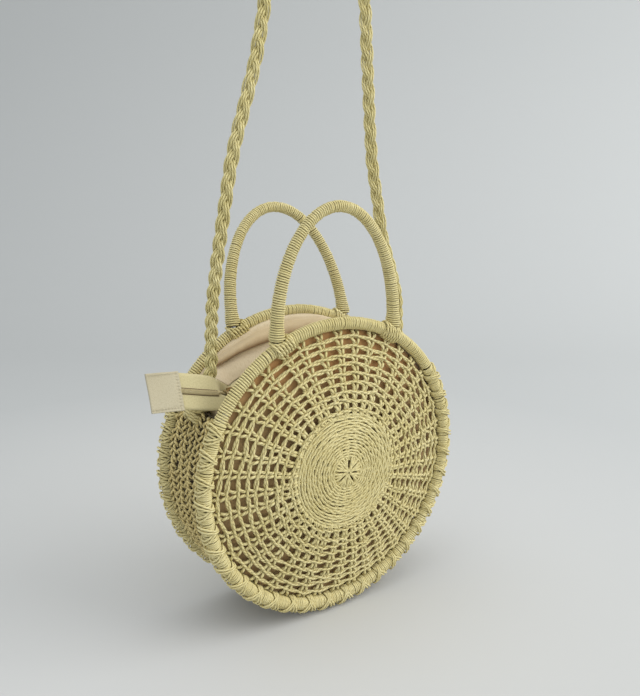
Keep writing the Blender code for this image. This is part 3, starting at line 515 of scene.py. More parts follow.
STRAP_SEAT = 0.1236
STRAP_RUN = [
    (-0.1026, 0.0700), (-0.0980, 0.0790), (-0.0955, 0.0890), (-0.0945, 0.1000),
    (-0.0944, 0.1120), (-0.0924, 0.1400), (-0.0877, 0.1720), (-0.0808, 0.2100), (-0.0724, 0.2520),
    (-0.0607, 0.2910), (-0.0515, 0.3230), (-0.0436, 0.3620), (-0.0375, 0.4050), (-0.0320, 0.4550),
    (-0.0275, 0.5100), (-0.0245, 0.5700), (-0.0228, 0.6180), (-0.0180, 0.6360), (0.0000, 0.64995),
    (0.0180, 0.6360), (0.0228, 0.6180), (0.0262, 0.5700), (0.0310, 0.5100), (0.0370, 0.4550),
    (0.0432, 0.4050), (0.0484, 0.3740), (0.0535, 0.3130), (0.0590, 0.2520), (0.0665, 0.2150),
    (0.0730, 0.1850), (0.0850, 0.1520), (0.0912, 0.1300), (0.0926, 0.1120),
    (0.0932, 0.1000), (0.0950, 0.0890), (0.0984, 0.0790), (0.1026, 0.0700),
]
STRAP_STEP = 0.0022
STRANDS = 3
STRAND_PITCH, END_PITCH = 0.046, 0.032
END_PLAIT, END_PLAIT_FADE = 0.06, 0.12
STRAND_SWING, STRAND_DEPTH = 0.0029, 0.0021
CORDS_IN_STRAND = 3
STRAND_HALF_WIDTH, STRAND_HALF_DEEP = 0.00166, 0.0006
STRAP_CORD = 0.00085
CORD_WANDER = 0.00010
# The flat side of the plait faces one way on the left run and the other way on the right, and sways a little
FACING = math.radians(34)
FACING_TURNS_AT, FACING_TURNS_OVER = 0.42, 0.16
FACING_SWAY, FACING_SWAY_RATE = 0.16, 17


def strap_seat(end):
    return end * STRAP_SEAT * math.cos(GUSSET_END), STRAP_SEAT * math.sin(GUSSET_END)


def strap_line():
    places = [strap_seat(LEFT), *STRAP_RUN, strap_seat(RIGHT)]
    return even_line(smooth_line([(x, 0, z) for x, z in places]), STRAP_STEP)


def make_strap():
    """Three strands that cross, each a flat bundle: one cord at either edge, and two in the middle."""
    line = strap_line()
    far = walked(line)[:, None]
    first, second = sides_of(line)
    changed = smooth_share((far / far[-1] - FACING_TURNS_AT) / FACING_TURNS_OVER)
    facing = FACING * (1 - 2 * changed) + FACING_SWAY * np.sin(far * FACING_SWAY_RATE)
    across = np.cos(facing) * first + np.sin(facing) * second
    deep = np.cos(facing) * second - np.sin(facing) * first
    from_end = np.minimum(far, far[-1] - far)
    pitch = END_PITCH + (STRAND_PITCH - END_PITCH) * smooth_share((from_end - END_PLAIT) / END_PLAIT_FADE)
    turns = np.cumsum(np.gradient(far[:, 0]) / pitch[:, 0])[:, None]
    lines = []
    for strand in range(STRANDS):
        phase = FULL_TURN * (turns + strand / STRANDS)
        middle = line + STRAND_SWING * np.sin(phase) * across + STRAND_DEPTH * np.sin(2 * phase) * deep
        slope = FULL_TURN / pitch * STRAND_SWING * np.cos(phase)
        along = unit(np.gradient(line, axis=0) / np.gradient(far, axis=0) + slope * across)
        broad = unit(np.cross(deep, along))
        for cord in range(CORDS_IN_STRAND):
            share = cord / (CORDS_IN_STRAND - 1) * 2 - 1
            wander = CORD_WANDER * np.sin(far * (190 + 23 * cord) + 2.1 * cord + strand)
            for face in ((1, -1) if share == 0 else (0,)):
                shift = (STRAND_HALF_WIDTH * share + wander) * broad
                lines.append(middle + shift + face * STRAND_HALF_DEEP * deep)
    bm = bmesh.new()
    add_cords(bm, lines, STRAP_CORD)
    strap = add_piece("strap_plait", bm, braid_straw)
    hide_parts("strap_braid", "strap_end_left", "strap_end_right")
    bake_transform(strap)
    return strap, line + BAG_CENTRE, far[-1, 0]


strap, strap_path, strap_length = make_strap()


# Ties that bind the strap's ends to the gusset

TIE_CORD = 0.00115
TIE_TURNS, TIE_POINTS = 5.2, 90
TIE_REACH, TIE_SWELL = 0.0068, 0.0010
TIE_START, TIE_LENGTH = -0.001, 0.0125
TIE_OVAL = 1.04
TIE_INWARD = 0.0004
CROSSED_CORDS, CROSSED_POINTS = 3, 30
CROSSED_START, CROSSED_STEP, CROSSED_SLANT = -0.004, 0.0022, 0.0042
CROSSED_REACH, CROSSED_OVER = 0.0074, 0.0006
CROSSED_NARROW, CROSSED_WIDE = 0.93, 1.05
CROSSED_INWARD = 0.0008


def make_tie(end_name, end):
    """Cord bound round the strap's end, and crossed over the gusset below it."""
    x, z = strap_seat(end)
    seat = np.array((x, 0, z))
    along = np.array((-end * math.sin(GUSSET_END), 0, math.cos(GUSSET_END)))
    outward = np.array((math.cos(GUSSET_END) * end, 0, math.sin(GUSSET_END)))
    t = np.linspace(0, 1, TIE_POINTS)[:, None]
    turn = FULL_TURN * TIE_TURNS * t
    middle = seat + along * (TIE_START + TIE_LENGTH * t) - outward * TIE_INWARD
    reach = TIE_REACH + TIE_SWELL * np.sin(math.pi * t)
    bound = middle + reach * (np.cos(turn) * outward + TIE_OVAL * np.sin(turn) * ALONG_Y)
    turn = FULL_TURN * np.linspace(0, 1, CROSSED_POINTS)[:, None]
    crossed = []
    for sign in (-1, 1):
        for index in range(CROSSED_CORDS):
            place = CROSSED_START + CROSSED_STEP * index + sign * CROSSED_SLANT * np.sin(turn)
            middle = seat + along * place - outward * CROSSED_INWARD
            round_it = CROSSED_NARROW * np.cos(turn) * outward + CROSSED_WIDE * np.sin(turn) * ALONG_Y
            crossed.append(middle + (CROSSED_REACH + CROSSED_OVER * (sign > 0)) * round_it)
    bundles = [([bound], TIE_CORD, OPEN), (crossed, TIE_CORD, OPEN)]
    return cord_piece("strap_tie_" + end_name, straw, bundles, "strap_knot_" + end_name)


ties = [make_tie("left", LEFT), make_tie("right", RIGHT)]


# Woven faces

BULGE = 0.0158
FACE_EDGE = 0.1131
MESH_SPOKES = 40
RING_RADII = 0.0520 + 0.00720 * np.arange(9)
MESH_EDGE = 0.1152
RING_WANDER, RING_FLUTTER, RING_LOOSE = 0.00060, 0.00092, 0.35
RING_SAG = 0.7
WANDER_WAVES = 5
RING_PART, RING_RISE, RING_CORD = 0.00080, 0.00120, 0.00106
SPOKE_CORD = 0.00134
SPOKE_LEAN = 0.00080
SPOKE_TWIST = 0.0002
UNEVEN_ROOM = 0.12
# A pair of spoke cords between two rings: share of the way, half their gap and its share of the room, and lift
SPLAY = (
    (0.10, 0.00110, 0, -0.0012), (0.30, 0.0007, 0.06, 0.0002), (0.55, 0, 0.125, 0.0007),
    (0.80, 0, 0.195, -0.0003), (0.95, 0, 0.16, -0.0016),
)
SPOKE_END_GAP, SPOKE_END_LIFT = 0.0014, -0.0008

CENTRE_EDGE = 0.048
CENTRE_SPOKES = 20
ROW_START, ROW_PITCH, ROW_PAST = 0.0138, 0.00247, 0.0010
INNER_TWINES, OUTER_TWINES, OUTER_ROWS_FROM = 16, 24, 0.026
ROW_PART, ROW_RISE, ROW_CORD = 0.00042, 0.00060, 0.00087
ROW_FIRST, ROW_SHIFT, ROW_UNRULY = 0.1, 0.41, 0.28
CENTRE_SPOKE_CORD, CENTRE_SPOKE_GAP, CENTRE_SPOKE_LIFT = 0.0009, 0.0010, -0.0008
STAR_PETALS = 8
STAR_CORD, STAR_TURN, STAR_UNEVEN = 0.00112, 0.2, 0.07
PETAL_START, PETAL_END = 0.0008, 0.0145
PETAL_NARROW, PETAL_WIDE, PETAL_OPENS, PETAL_OPENING = 0.0002, 0.0026, 0.0035, 0.0090
PETAL_LIFT, PETAL_TUCK, TUCK_START, TUCK_LENGTH = 0.0009, 0.0022, 0.0110, 0.0030
PETAL_OVER, PETAL_OVER_UNTIL = 0.0004, 0.005


def face_points(radius, angle, side, stand_off=0.0):
    """Points on a domed face: radius and angle about its centre, and how far they stand off it."""
    slope = -2 * BULGE * radius / FACE_EDGE ** 2
    tilt = np.sqrt(1 + slope ** 2)
    depth = HALF_DEPTH + BULGE * (1 - (radius / FACE_EDGE) ** 2) + stand_off / tilt
    return ring_points(radius - slope / tilt * stand_off, angle, side * depth)


def uneven(angle, amount):
    """A gentle random wander that closes on itself after a full turn."""
    total = np.zeros_like(angle)
    for wave in range(1, WANDER_WAVES + 1):
        total += chance.normal() * np.sin(wave * angle + chance.uniform(0, FULL_TURN)) / WANDER_WAVES ** 0.5
    return amount * total


def twined_ring(radius, side, spokes, part, rise, steps, first_angle=0.0, unruly=1.0):
    """The two strands of one ring, which change places between the spokes."""
    angle = np.linspace(0, FULL_TURN, spokes * steps, endpoint=False)
    wander = uneven(angle, RING_WANDER * unruly)
    knots = np.append(chance.normal(size=spokes), 0.0)
    knots[-1] = knots[0]
    between = np.linspace(0, FULL_TURN, spokes + 1)
    flutter = np.interp(angle, between, knots) * RING_FLUTTER * unruly
    loose = 1 + RING_LOOSE * np.interp(angle, between, knots[::-1])
    phase = (angle - first_angle) * spokes / 2
    from_middle = (angle - first_angle) % (FULL_TURN / spokes) - math.pi / spokes
    chord = np.cos(math.pi / spokes) / np.cos(from_middle)
    lines = []
    for sign in (1, -1):
        ring = radius * (1 - RING_SAG + RING_SAG * chord) + wander + flutter
        ring = ring + sign * part * loose * np.sin(phase)
        lines.append(face_points(ring, angle, side, sign * rise * np.cos(phase)))
    return lines


def make_face_mesh(side_name, side):
    """Twined rings on pairs of spoke cords. Each pair leaves a ring tight and splays over the next one."""
    bundles = []
    for radius in RING_RADII:
        bundles.append((twined_ring(radius, side, MESH_SPOKES, RING_PART, RING_RISE, 8), RING_CORD, LOOP))
    bounds = np.concatenate(([CENTRE_EDGE - 0.002], RING_RADII, [MESH_EDGE]))
    lines = []
    for index in range(MESH_SPOKES):
        base = FULL_TURN * index / MESH_SPOKES
        lean = np.cumsum(chance.normal(size=len(bounds))) * SPOKE_LEAN
        lean -= np.linspace(lean[0], lean[-1], len(lean))
        for sign in (1, -1):
            places = []
            for gap, (near, far) in enumerate(zip(bounds, bounds[1:])):
                room = FULL_TURN * far / MESH_SPOKES * (1 + UNEVEN_ROOM * chance.normal())
                for share, half_gap, roomy, lift in SPLAY:
                    radius = near + (far - near) * share
                    sway = lean[gap] * (1 - share) + lean[gap + 1] * share
                    turn = (sign * (half_gap + roomy * room) + sway) / radius
                    places.append((radius, base + turn, lift + SPOKE_TWIST * sign))
            places.append((bounds[-1], base + sign * SPOKE_END_GAP / bounds[-1], SPOKE_END_LIFT))
            radius, angle, stand_off = np.array(places).T
            lines.append(face_points(radius, angle, side, stand_off))
    bundles.append((lines, SPOKE_CORD, OPEN))
    cord_piece(side_name + "_face_mesh", straw, bundles, side_name + "_panel_mesh")


def star_lines(side):
    """Three cords for each petal, which leave the middle together and tuck in under the rows."""
    lines = []
    for petal in range(STAR_PETALS):
        turn = FULL_TURN * petal / STAR_PETALS + STAR_TURN + STAR_UNEVEN * chance.normal()
        for cord in (-1, 0, 1):
            run = np.linspace(PETAL_START, PETAL_END, 13)
            offset = cord * (PETAL_NARROW + PETAL_WIDE * smooth_share((run - PETAL_OPENS) / PETAL_OPENING))
            lift = PETAL_LIFT - PETAL_TUCK * smooth_share((run - TUCK_START) / TUCK_LENGTH)
            lift = lift + PETAL_OVER * (petal % 2) * (run < PETAL_OVER_UNTIL)
            lines.append(face_points(np.hypot(run, offset), turn + np.arctan2(offset, run), side, lift))
    return lines


def make_face_centre(side_name, side):
    """Tight twined rows round a star of flat petals."""
    bundles = []
    for row, radius in enumerate(np.arange(ROW_START, CENTRE_EDGE + ROW_PAST, ROW_PITCH)):
        twines = OUTER_TWINES if radius > OUTER_ROWS_FROM else INNER_TWINES
        first_angle = ROW_FIRST + ROW_SHIFT * row
        ring = twined_ring(radius, side, twines, ROW_PART, ROW_RISE, 6, first_angle, ROW_UNRULY)
        bundles.append((ring, ROW_CORD, LOOP))
    bundles.append((star_lines(side), STAR_CORD, OPEN))
    lines = []
    for index in range(CENTRE_SPOKES):
        for sign in (1, -1):
            radius = np.linspace(0.010, CENTRE_EDGE + 0.001, 15)
            angle = FULL_TURN * index / CENTRE_SPOKES + sign * CENTRE_SPOKE_GAP / radius
            lines.append(face_points(radius, angle, side, CENTRE_SPOKE_LIFT))
    bundles.append((lines, CENTRE_SPOKE_CORD, OPEN))
    cord_piece(side_name + "_face_centre", wound_straw, bundles, side_name + "_panel_centre")


for side_name, side in SIDES:
    make_face_mesh(side_name, side)
    make_face_centre(side_name, side)


# Wrapped hoops

RIM_RADIUS = HOOP_RADIUS + 0.0009
RIM_STEP = 0.002
WRAP_CORD, LASHING_CORD = 0.00087, 0.00083
TOP_REACH, TOP_PITCH = 0.0045, 0.00206
LOWER_CORE = 0.0041
UNDER_WRAP = 0.0002
HANDLE_HALF_SPAN = 0.057
FOOT_HEIGHT = 0.117949
FOOT_BALL = 0.0082
FOOT_ANGLE = math.atan2(FOOT_HEIGHT, HANDLE_HALF_SPAN)
FOOT_ROOM = 0.0100 / RIM_RADIUS
GUSSET_TIES = 26
SCALLOPS = GUSSET_TIES + 1
SCALLOP_PITCH = (math.pi + 2 * GUSSET_END) / GUSSET_TIES
LASHING_START = math.pi - GUSSET_END
LASHING_END = GUSSET_END + SCALLOP_PITCH
FAN_WRAPS = 10
FAN_REACH, FAN_INNER, FAN_OUTER = 0.0043, 0.0006, 0.0004
FAN_SPREAD, FAN_SPLAY, FAN_UNEVEN = 0.92, 0.14, 0.00022
CROSS_REACH, CROSS_BULGE, CROSS_OVER = 0.0055, 0.0010, 0.0006
CROSS_GAP, CROSS_LAG, CROSS_SWEEP, SECOND_CROSS = 0.0008, 0.0020, 0.42, 0.8
FOOT_CORD, FOOT_LOOPS, FOOT_HALF_WIDTH = 0.00095, 6, 0.0056
FOOT_REACH, FOOT_OVER, FOOT_CROWN, FOOT_UNEVEN = 0.0060, 0.0010, 0.0004, 0.0001
FOOT_SLANT, FOOT_FAN = 0.0017, 0.0012


def hoop_line(start, end, side):
    count = max(int(abs(end - start) * RIM_RADIUS / RIM_STEP), 2)
    return ring_points(RIM_RADIUS, np.linspace(start, end, count + 1), side * HALF_DEPTH)


def clear_of_feet(line, side):
    """Presses the cord down under the feet of the handle that stands on this hoop."""
    for end in (LEFT, RIGHT):
        foot = np.array((end * HANDLE_HALF_SPAN, side * HALF_DEPTH, FOOT_HEIGHT))
        away = line - foot
        distance = np.linalg.norm(away, axis=1, keepdims=True)
        line = np.where(distance < FOOT_BALL, foot + away / distance * FOOT_BALL, line)
    return line


def make_rim_top(side_name, side):
    """One cord wound round the hoop's upper part, over a dark core of painted shade that leaves room for the
    handle's feet.
    """
    coil = wound_line(hoop_line(LASHING_END, LASHING_START, side), TOP_REACH, TOP_PITCH)
    bundles = [([clear_of_feet(coil, side)], WRAP_CORD, OPEN)]
    stops = (LASHING_END, FOOT_ANGLE, math.pi - FOOT_ANGLE, LASHING_START)
    for first, last in zip(stops, stops[1:]):
        core = hoop_line(first + FOOT_ROOM, last - FOOT_ROOM, side)
        bundles.append(([core], TOP_REACH - UNDER_WRAP, SHADED_CORE))
    cord_piece(side_name + "_rim_winding", wound_straw, bundles, side_name + "_rim_wrap_top")


def loop_turns(count=16):
    return np.linspace(0, FULL_TURN, count, endpoint=False)


def rim_loop(angle, side, turn, reach, offset):
    """A loop of cord round the hoop at an angle. Its reach and its shift along the hoop may change."""
    out = RIM_RADIUS + reach * np.cos(turn)
    return ring_points(out, angle + offset / RIM_RADIUS, side * (HALF_DEPTH + reach * np.sin(turn)))


def make_rim_lower(side_name, side):
    """Fans of wraps from each tie of the gusset, and crossed cords with their tips between the ties."""
    fans, crosses = [], []
    half = SCALLOP_PITCH * RIM_RADIUS / 2
    turn = loop_turns()
    outer, inner = 1 + np.cos(turn), 1 - np.cos(turn)

    def past_end(cell, way):
        return (cell == 0 and way < 0) or (cell == SCALLOPS and way > 0)

    for cell in range(SCALLOPS + 1):
        tie = LASHING_START + cell * SCALLOP_PITCH
        for index in range(FAN_WRAPS):
            share = (index + 0.5) / FAN_WRAPS * 2 - 1
            if past_end(cell, share):
                continue
            reach = FAN_REACH + FAN_INNER * (1 - share ** 2) * inner + FAN_OUTER * share ** 2 * outer
            offset = share * half * (FAN_SPREAD + FAN_SPLAY * abs(share) * np.cos(turn))
            fans.append(rim_loop(tie, side, turn, reach, offset + chance.normal() * FAN_UNEVEN))
        for sign in (1, -1):
            if past_end(cell, sign):
                continue
            reach = CROSS_REACH + CROSS_BULGE * np.abs(np.cos(turn)) + CROSS_OVER * (sign > 0)
            for lag, length in ((0.0, 1), (CROSS_LAG, SECOND_CROSS)):
                offset = sign * (lag + CROSS_GAP - half * CROSS_SWEEP * outer) * length
                crosses.append(rim_loop(tie + sign * SCALLOP_PITCH / 2, side, turn, reach, offset))
    # A dark core of painted shade under the fans and crossed cords, seen between them.
    core = hoop_line(LASHING_START, FULL_TURN + LASHING_END, side)
    bundles = [([core], LOWER_CORE, SHADED_CORE), (fans, LASHING_CORD, LOOP), (crosses, LASHING_CORD, LOOP)]
    cord_piece(side_name + "_rim_lashing", wound_straw, bundles, side_name + "_rim_wrap_lower")


def make_foot_lashing(side_name, side, end_name, end):
    """Loops that cross round the hoop under a foot of the handle."""
    angle = math.atan2(FOOT_HEIGHT, end * HANDLE_HALF_SPAN)
    turn = loop_turns(20)
    lines = []
    for sign in (1, -1):
        for index in range(FOOT_LOOPS):
            share = index / (FOOT_LOOPS - 1) * 2 - 1
            reach = FOOT_REACH + FOOT_OVER * (sign > 0) + FOOT_CROWN * (1 - share ** 2)
            reach = reach + FOOT_UNEVEN * chance.normal()
            offset = sign * FOOT_SLANT * np.cos(turn) - FOOT_FAN * share * np.sin(turn) * side
            loop = rim_loop(angle + share * FOOT_HALF_WIDTH / RIM_RADIUS, side, turn, reach, offset)
            lines.append(clear_of_feet(loop, side))
    name = f"{side_name}_{end_name}_foot_"
    cord_piece(name + "cords", straw, [(lines, FOOT_CORD, LOOP)], name + "lashing")


for side_name, side in SIDES:
    make_rim_top(side_name, side)
    make_rim_lower(side_name, side)
    for end_name, end in (("left", LEFT), ("right", RIGHT)):
        make_foot_lashing(side_name, side, end_name, end)


# Handles

HANDLE_RISE = 0.0955
HANDLE_REACH = 0.0040
HANDLE_CORD, HANDLE_PITCH = 0.00075, 0.00182
LEG_SWELL, LEG_LENGTH = 0.0009, 0.11
FOOT_SWELL, FOOT_LENGTH = 0.0012, 0.016
FOOT_TAPER, FOOT_TAPER_LENGTH = 0.0020, 0.003
FOOT_BELOW = np.linspace(-0.0055, -0.0005, 5)
LEANS = {FRONT: 0.0, BACK: math.radians(16)}


def handle_line(side):
    """An arch that stands on the hoop, with its two feet, leaning as the photo shows."""
    turn = np.linspace(0, math.pi, 120)
    foot = np.full(len(FOOT_BELOW), HANDLE_HALF_SPAN)
    x = np.concatenate((-foot, -HANDLE_HALF_SPAN * np.cos(turn), foot))
    height = np.concatenate((FOOT_BELOW, HANDLE_RISE * np.sin(turn), FOOT_BELOW[::-1]))
    lean = LEANS[side]
    across = side * HALF_DEPTH + height * math.sin(lean)
    return np.stack((x, across, FOOT_HEIGHT + height * math.cos(lean)), axis=1)


def make_handle(side_name, side):
    """One cord wound from foot to foot: a little thicker on the legs, and drawn in where a foot sits."""
    line = handle_line(side)
    total = walked(line)[-1]

    def reach(share):
        from_end = np.minimum(share, 1 - share) * total
        leg = LEG_SWELL * smooth_share(1 - from_end / LEG_LENGTH)
        foot = FOOT_SWELL * smooth_share(1 - from_end / FOOT_LENGTH)
        return HANDLE_REACH + (leg + foot) - FOOT_TAPER * smooth_share(1 - from_end / FOOT_TAPER_LENGTH)

    side_axis = np.array((0, math.cos(LEANS[side]), -math.sin(LEANS[side])))
    wrap = wound_line(line, reach, HANDLE_PITCH, 10, side_axis)
    # A dark core of painted shade under the winding, seen between its turns.
    bundles = [([wrap], HANDLE_CORD, OPEN), ([line], reach(walked(line) / total) - UNDER_WRAP, SHADED_CORE)]
    handle = side_name + "_handle"
    cord_piece(handle + "_winding", wound_straw, bundles, handle + "_wrap", body=handle)


for side_name, side in SIDES:
    make_handle(side_name, side)


# Gusset between the hoops

GUSSET_HALF_WIDTH = 0.0289
GUSSET_ROWS, GUSSET_RIBS = 8, 84
ROW_STEPS, RIB_STEPS = 5, 3
GUSSET_CORD, RIB_CORD = 0.00116, 0.00078
GUSSET_OUT, GUSSET_WANDER, GUSSET_LAG = 0.0002, 0.0005, 0.25
TWINE_PART, TWINE_RISE = 0.0016, 0.0017
PULL_ACROSS, PULL_PART, PULL_OUT = 0.0006, 0.0006, 0.0004
RIB_IN, RIB_PAST = 0.0006, 0.002
RIB_GAP, RIB_SPLAY = 0.0005, 0.0012


def make_gusset():
    """Rows of two twined cords, each row twisted against the last, round pairs of rib cords in painted shade.
    """
    start, end = LASHING_START, FULL_TURN + GUSSET_END
    angle = np.linspace(start, end, GUSSET_RIBS * ROW_STEPS + 1)
    rib_angles = np.linspace(start, end, GUSSET_RIBS + 1)
    phase = math.pi * (angle - start) / (end - start) * GUSSET_RIBS
    lines = []
    for row in range(GUSSET_ROWS):
        middle = -GUSSET_HALF_WIDTH + (row + 0.5) * 2 * GUSSET_HALF_WIDTH / GUSSET_ROWS
        wander = uneven(angle, GUSSET_WANDER)
        pull = np.interp(angle, rib_angles, chance.normal(size=GUSSET_RIBS + 1))
        lead = (phase + GUSSET_LAG * chance.normal()) * (1 if row % 2 else -1)
        for sign in (1, -1):
            part = sign * (TWINE_PART + PULL_PART * pull) * np.sin(lead)
            radius = HOOP_RADIUS + GUSSET_OUT + PULL_OUT * pull + sign * TWINE_RISE * np.cos(lead)
            lines.append(ring_points(radius, angle, middle + wander + PULL_ACROSS * pull + part))
    ribs = []
    reach = GUSSET_HALF_WIDTH + RIB_PAST
    across = np.linspace(-reach, reach, GUSSET_ROWS * RIB_STEPS + 1)
    weave = math.pi * (across + GUSSET_HALF_WIDTH) / (2 * GUSSET_HALF_WIDTH) * GUSSET_ROWS
    for middle in rib_angles:
        for sign in (1, -1):
            place = middle + sign * (RIB_GAP + RIB_SPLAY * np.abs(np.cos(weave))) / HOOP_RADIUS
            ribs.append(ring_points(HOOP_RADIUS - RIB_IN, place, across))
    bundles = [(lines, GUSSET_CORD, OPEN), (ribs, RIB_CORD, SHADED)]
    cord_piece("gusset_weave", gusset_straw, bundles, "gusset_band")


make_gusset()


# Cotton lining

LINING_EDGE = 0.1158
LINING_DEPTH, LINING_BULGE = 0.032, 0.015
LINING_RIPPLE, LINING_SLACK = 0.0016, 0.0008
LINING_THICKNESS = 0.0008
POCKET_START, POCKET_END = math.radians(146), math.radians(397)
POCKET_RADIUS, POCKET_RIPPLE = 0.1136, 0.0012
POCKET_HALF_WIDTH = 0.0314
POCKET_RIPPLE_RADIUS = 0.114


def make_cloth(name, across, along, place, flat, finish, thickness, merged=False, turned=True):
    """A grid of cloth: place gives the point at each pair of shares, and flat is the size it was cut to.

    Merged joins points that meet, and turned makes the faces point one way.
    """
    bm = bmesh.new()
    layer = bm.loops.layers.uv.verify()
    made = bmesh.ops.create_grid(bm, x_segments=across, y_segments=along, size=0.5)["verts"]
    shares = {vert: (vert.co.x + 0.5, vert.co.y + 0.5) for vert in made}
    for face in bm.faces:
        for loop in face.loops:
            u, v = shares[loop.vert]
            loop[layer].uv = (u * flat[0], v * flat[1])
    for vert, (u, v) in shares.items():
        vert.co = Vector(place(u, v))
    if merged:
        bmesh.ops.remove_doubles(bm, verts=bm.verts, dist=1e-6)
    if turned:
        bmesh.ops.recalc_face_normals(bm, faces=bm.faces)
    piece = add_piece(name, bm, finish)
    wall = piece.modifiers.new("cloth_thickness", "SOLIDIFY")
    wall.thickness = thickness
    wall.offset = 0
    return piece


def ripple(x, y, seed):
    """Soft folds of cloth: a few crossing waves of different lengths, between -1 and 1."""
    total = 0.0
    for wave, (length, turn) in enumerate(((31.0, 0.4), (47.0, 1.5), (83.0, 2.4), (120.0, 0.9))):
        across = x * math.cos(turn + seed) + y * math.sin(turn + seed)
        total += math.sin(length * across + seed * (wave + 1)) / (wave + 1)
    return total / 2.1


def make_lining_face(side_name, side):
    def place(u, v):
        radius = LINING_EDGE * v
        angle = FULL_TURN * u
        x, z = radius * math.cos(angle), radius * math.sin(angle)
        loose = math.sin(math.pi * min(v, 1)) ** 0.5
        folds = LINING_RIPPLE * ripple(x, z, side + 2.0) - LINING_SLACK
        return x, side * (LINING_DEPTH + LINING_BULGE * (1 - v ** 2) + loose * folds), z

    lining = make_cloth(
        "lining_cloth_" + side_name, 96, 30, place, (0.36, 0.114), lining_cotton, LINING_THICKNESS,
        merged=True,
    )
    settle(lining, "bag", "lining_cotton", "lining_" + side_name)


def make_lining_pocket():
    def place(u, v):
        angle = POCKET_START + (POCKET_END - POCKET_START) * u
        across = (v - 0.5) * 2 * POCKET_HALF_WIDTH
        drawn_in = abs(ripple(angle * POCKET_RIPPLE_RADIUS, across, 5.0)) * math.sin(math.pi * v)
        return ring_points(POCKET_RADIUS - POCKET_RIPPLE * drawn_in, angle, across)

    flat = (0.498, 0.0628)
    lining = make_cloth(
        "lining_pocket_cloth", 150, 16, place, flat, pocket_cotton, LINING_THICKNESS, turned=False,
    )
    settle(lining, "bag", "lining_cotton", "lining_gusset")


for side_name, side in SIDES:
    make_lining_face(side_name, side)
make_lining_pocket()


# Zip: its lines run along X. Its tail turns upright as it leaves the mouth on the left

ZIP_Y, ZIP_Z, ZIP_HALF = -0.010, 0.070, 0.084
COIL_GAP, COIL_RISE = 0.0056, 0.001
COIL_BOWS = {FRONT: 0.006, BACK: 0.0015}
TAIL_Y, TAIL_Z, TAIL_FROM, TAIL_SLOPE = -0.014, 0.0716, -0.091, 0.225
TAIL_TILT, TAIL_TURN = math.radians(69), math.radians(57)
TURN_FROM, TURN_LENGTH = -0.110, 0.036
TAPE_END, TAPE_LENGTH, TAPE_WIDTH = -0.1275, 0.2175, 0.0139
TAPE_PAST_COIL = 0.0013
# Outer edge of each tape at the mouth's ends, across and in height, each with what it gains in the middle
TAPE_EDGES = {FRONT: (-0.0265, 0.00095, 0.077, 0.006), BACK: (0.0073, 0.0, 0.076, 0.0035)}
BACK_DROP, BACK_DROP_FROM, BACK_DROP_LENGTH = 0.0050, -0.060, 0.018
TAPES_MEET, TAPES_MEET_LENGTH, TAPES_APART = -0.0888, 0.0062, 0.0003
TAPE_TURNS_FROM, TAPE_TURN_LENGTH = -0.072, 0.013
TAB_START, TAB_LENGTH, TAB_HALF_WIDTH = -0.1270, 0.0250, 0.0147


def hump(x):
    """1 in the middle of the mouth, and 0 at its ends."""
    return max(1 - (x / ZIP_HALF) ** 2, 0)


def coil_line(x, side):
    out = COIL_GAP + COIL_BOWS[side] * hump(x)
    return np.array((x, ZIP_Y + side * out, ZIP_Z + COIL_RISE * hump(x)))


def tail_line(x):
    return np.array((x, TAIL_Y, TAIL_Z + TAIL_SLOPE * (TAIL_FROM - x)))


def tail_up(x):
    """The way the tail's upper half points: upright at the tab, and turning back to level at the mouth."""
    tilt = TAIL_TILT - TAIL_TURN * smooth_share((x - TURN_FROM) / TURN_LENGTH)
    return np.array((0, math.cos(tilt), math.sin(tilt)))


def tail_face(x):
    up = tail_up(x)
    return np.array((0, -up[2], up[1]))


def tape_inner(x, side):
    share = smooth_share((TAPES_MEET - x) / TAPES_MEET_LENGTH)
    along_coil = coil_line(x, side) + (0, side * TAPE_PAST_COIL, 0)
    return along_coil * (1 - share) + (tail_line(x) + side * tail_up(x) * TAPES_APART) * share


def tape_outer(x, side):
    across, bow, height, rise = TAPE_EDGES[side]
    spot = np.array((x, across + bow * hump(x), height + rise * hump(x)))
    if side == BACK:
        spot[2] -= BACK_DROP * smooth_share((BACK_DROP_FROM - x) / BACK_DROP_LENGTH)
    share = smooth_share((TAPE_TURNS_FROM - x) / TAPE_TURN_LENGTH)
    return spot * (1 - share) + (tail_line(x) + side * tail_up(x) * TAPE_WIDTH) * share


# The mouth's cloth, from its seam inside the hoop to the zip's tape

SEAM_Y, SEAM_RADIUS = 0.0316, 0.1183
FLAP_HALF_LENGTH, FLAP_LOOSE_LENGTH = 0.098, 0.094
FLAP_THICKNESS, TAPE_THICKNESS = 0.0009, 0.0006
LAP_OUT, BACK_LAP_UP, FRONT_LAP_UP = 0.0006, 0.0004, 0.0006
END_IN, END_DOWN = 0.004, 0.001
# The back flap's fold, which hangs over: shares of the way from its seam to the zip, and of the fold's height
FOLD_LINE = smooth_line([(share, height, 0) for share, height in (
    (0, 0), (0.08, 0.30), (0.15, 0.28), (0.24, 0.80), (0.33, 1.0), (0.405, 0.80), (0.415, 0.30), (0.41, -0.12),
    (0.47, -0.10), (0.60, 0.16), (0.80, 0.22), (1, 0),
)])
FOLD_FAR = walked(FOLD_LINE) / walked(FOLD_LINE)[-1]
FOLD_HEIGHT = 0.0078
FOLD_OUT = np.array((0, -0.822, 0.569))
FRONT_SWELL, FLAP_RIPPLE = 0.0015, 0.0012


def flap_seam(x, side):
    return np.array((x, side * SEAM_Y, math.sqrt(SEAM_RADIUS ** 2 - x * x)))


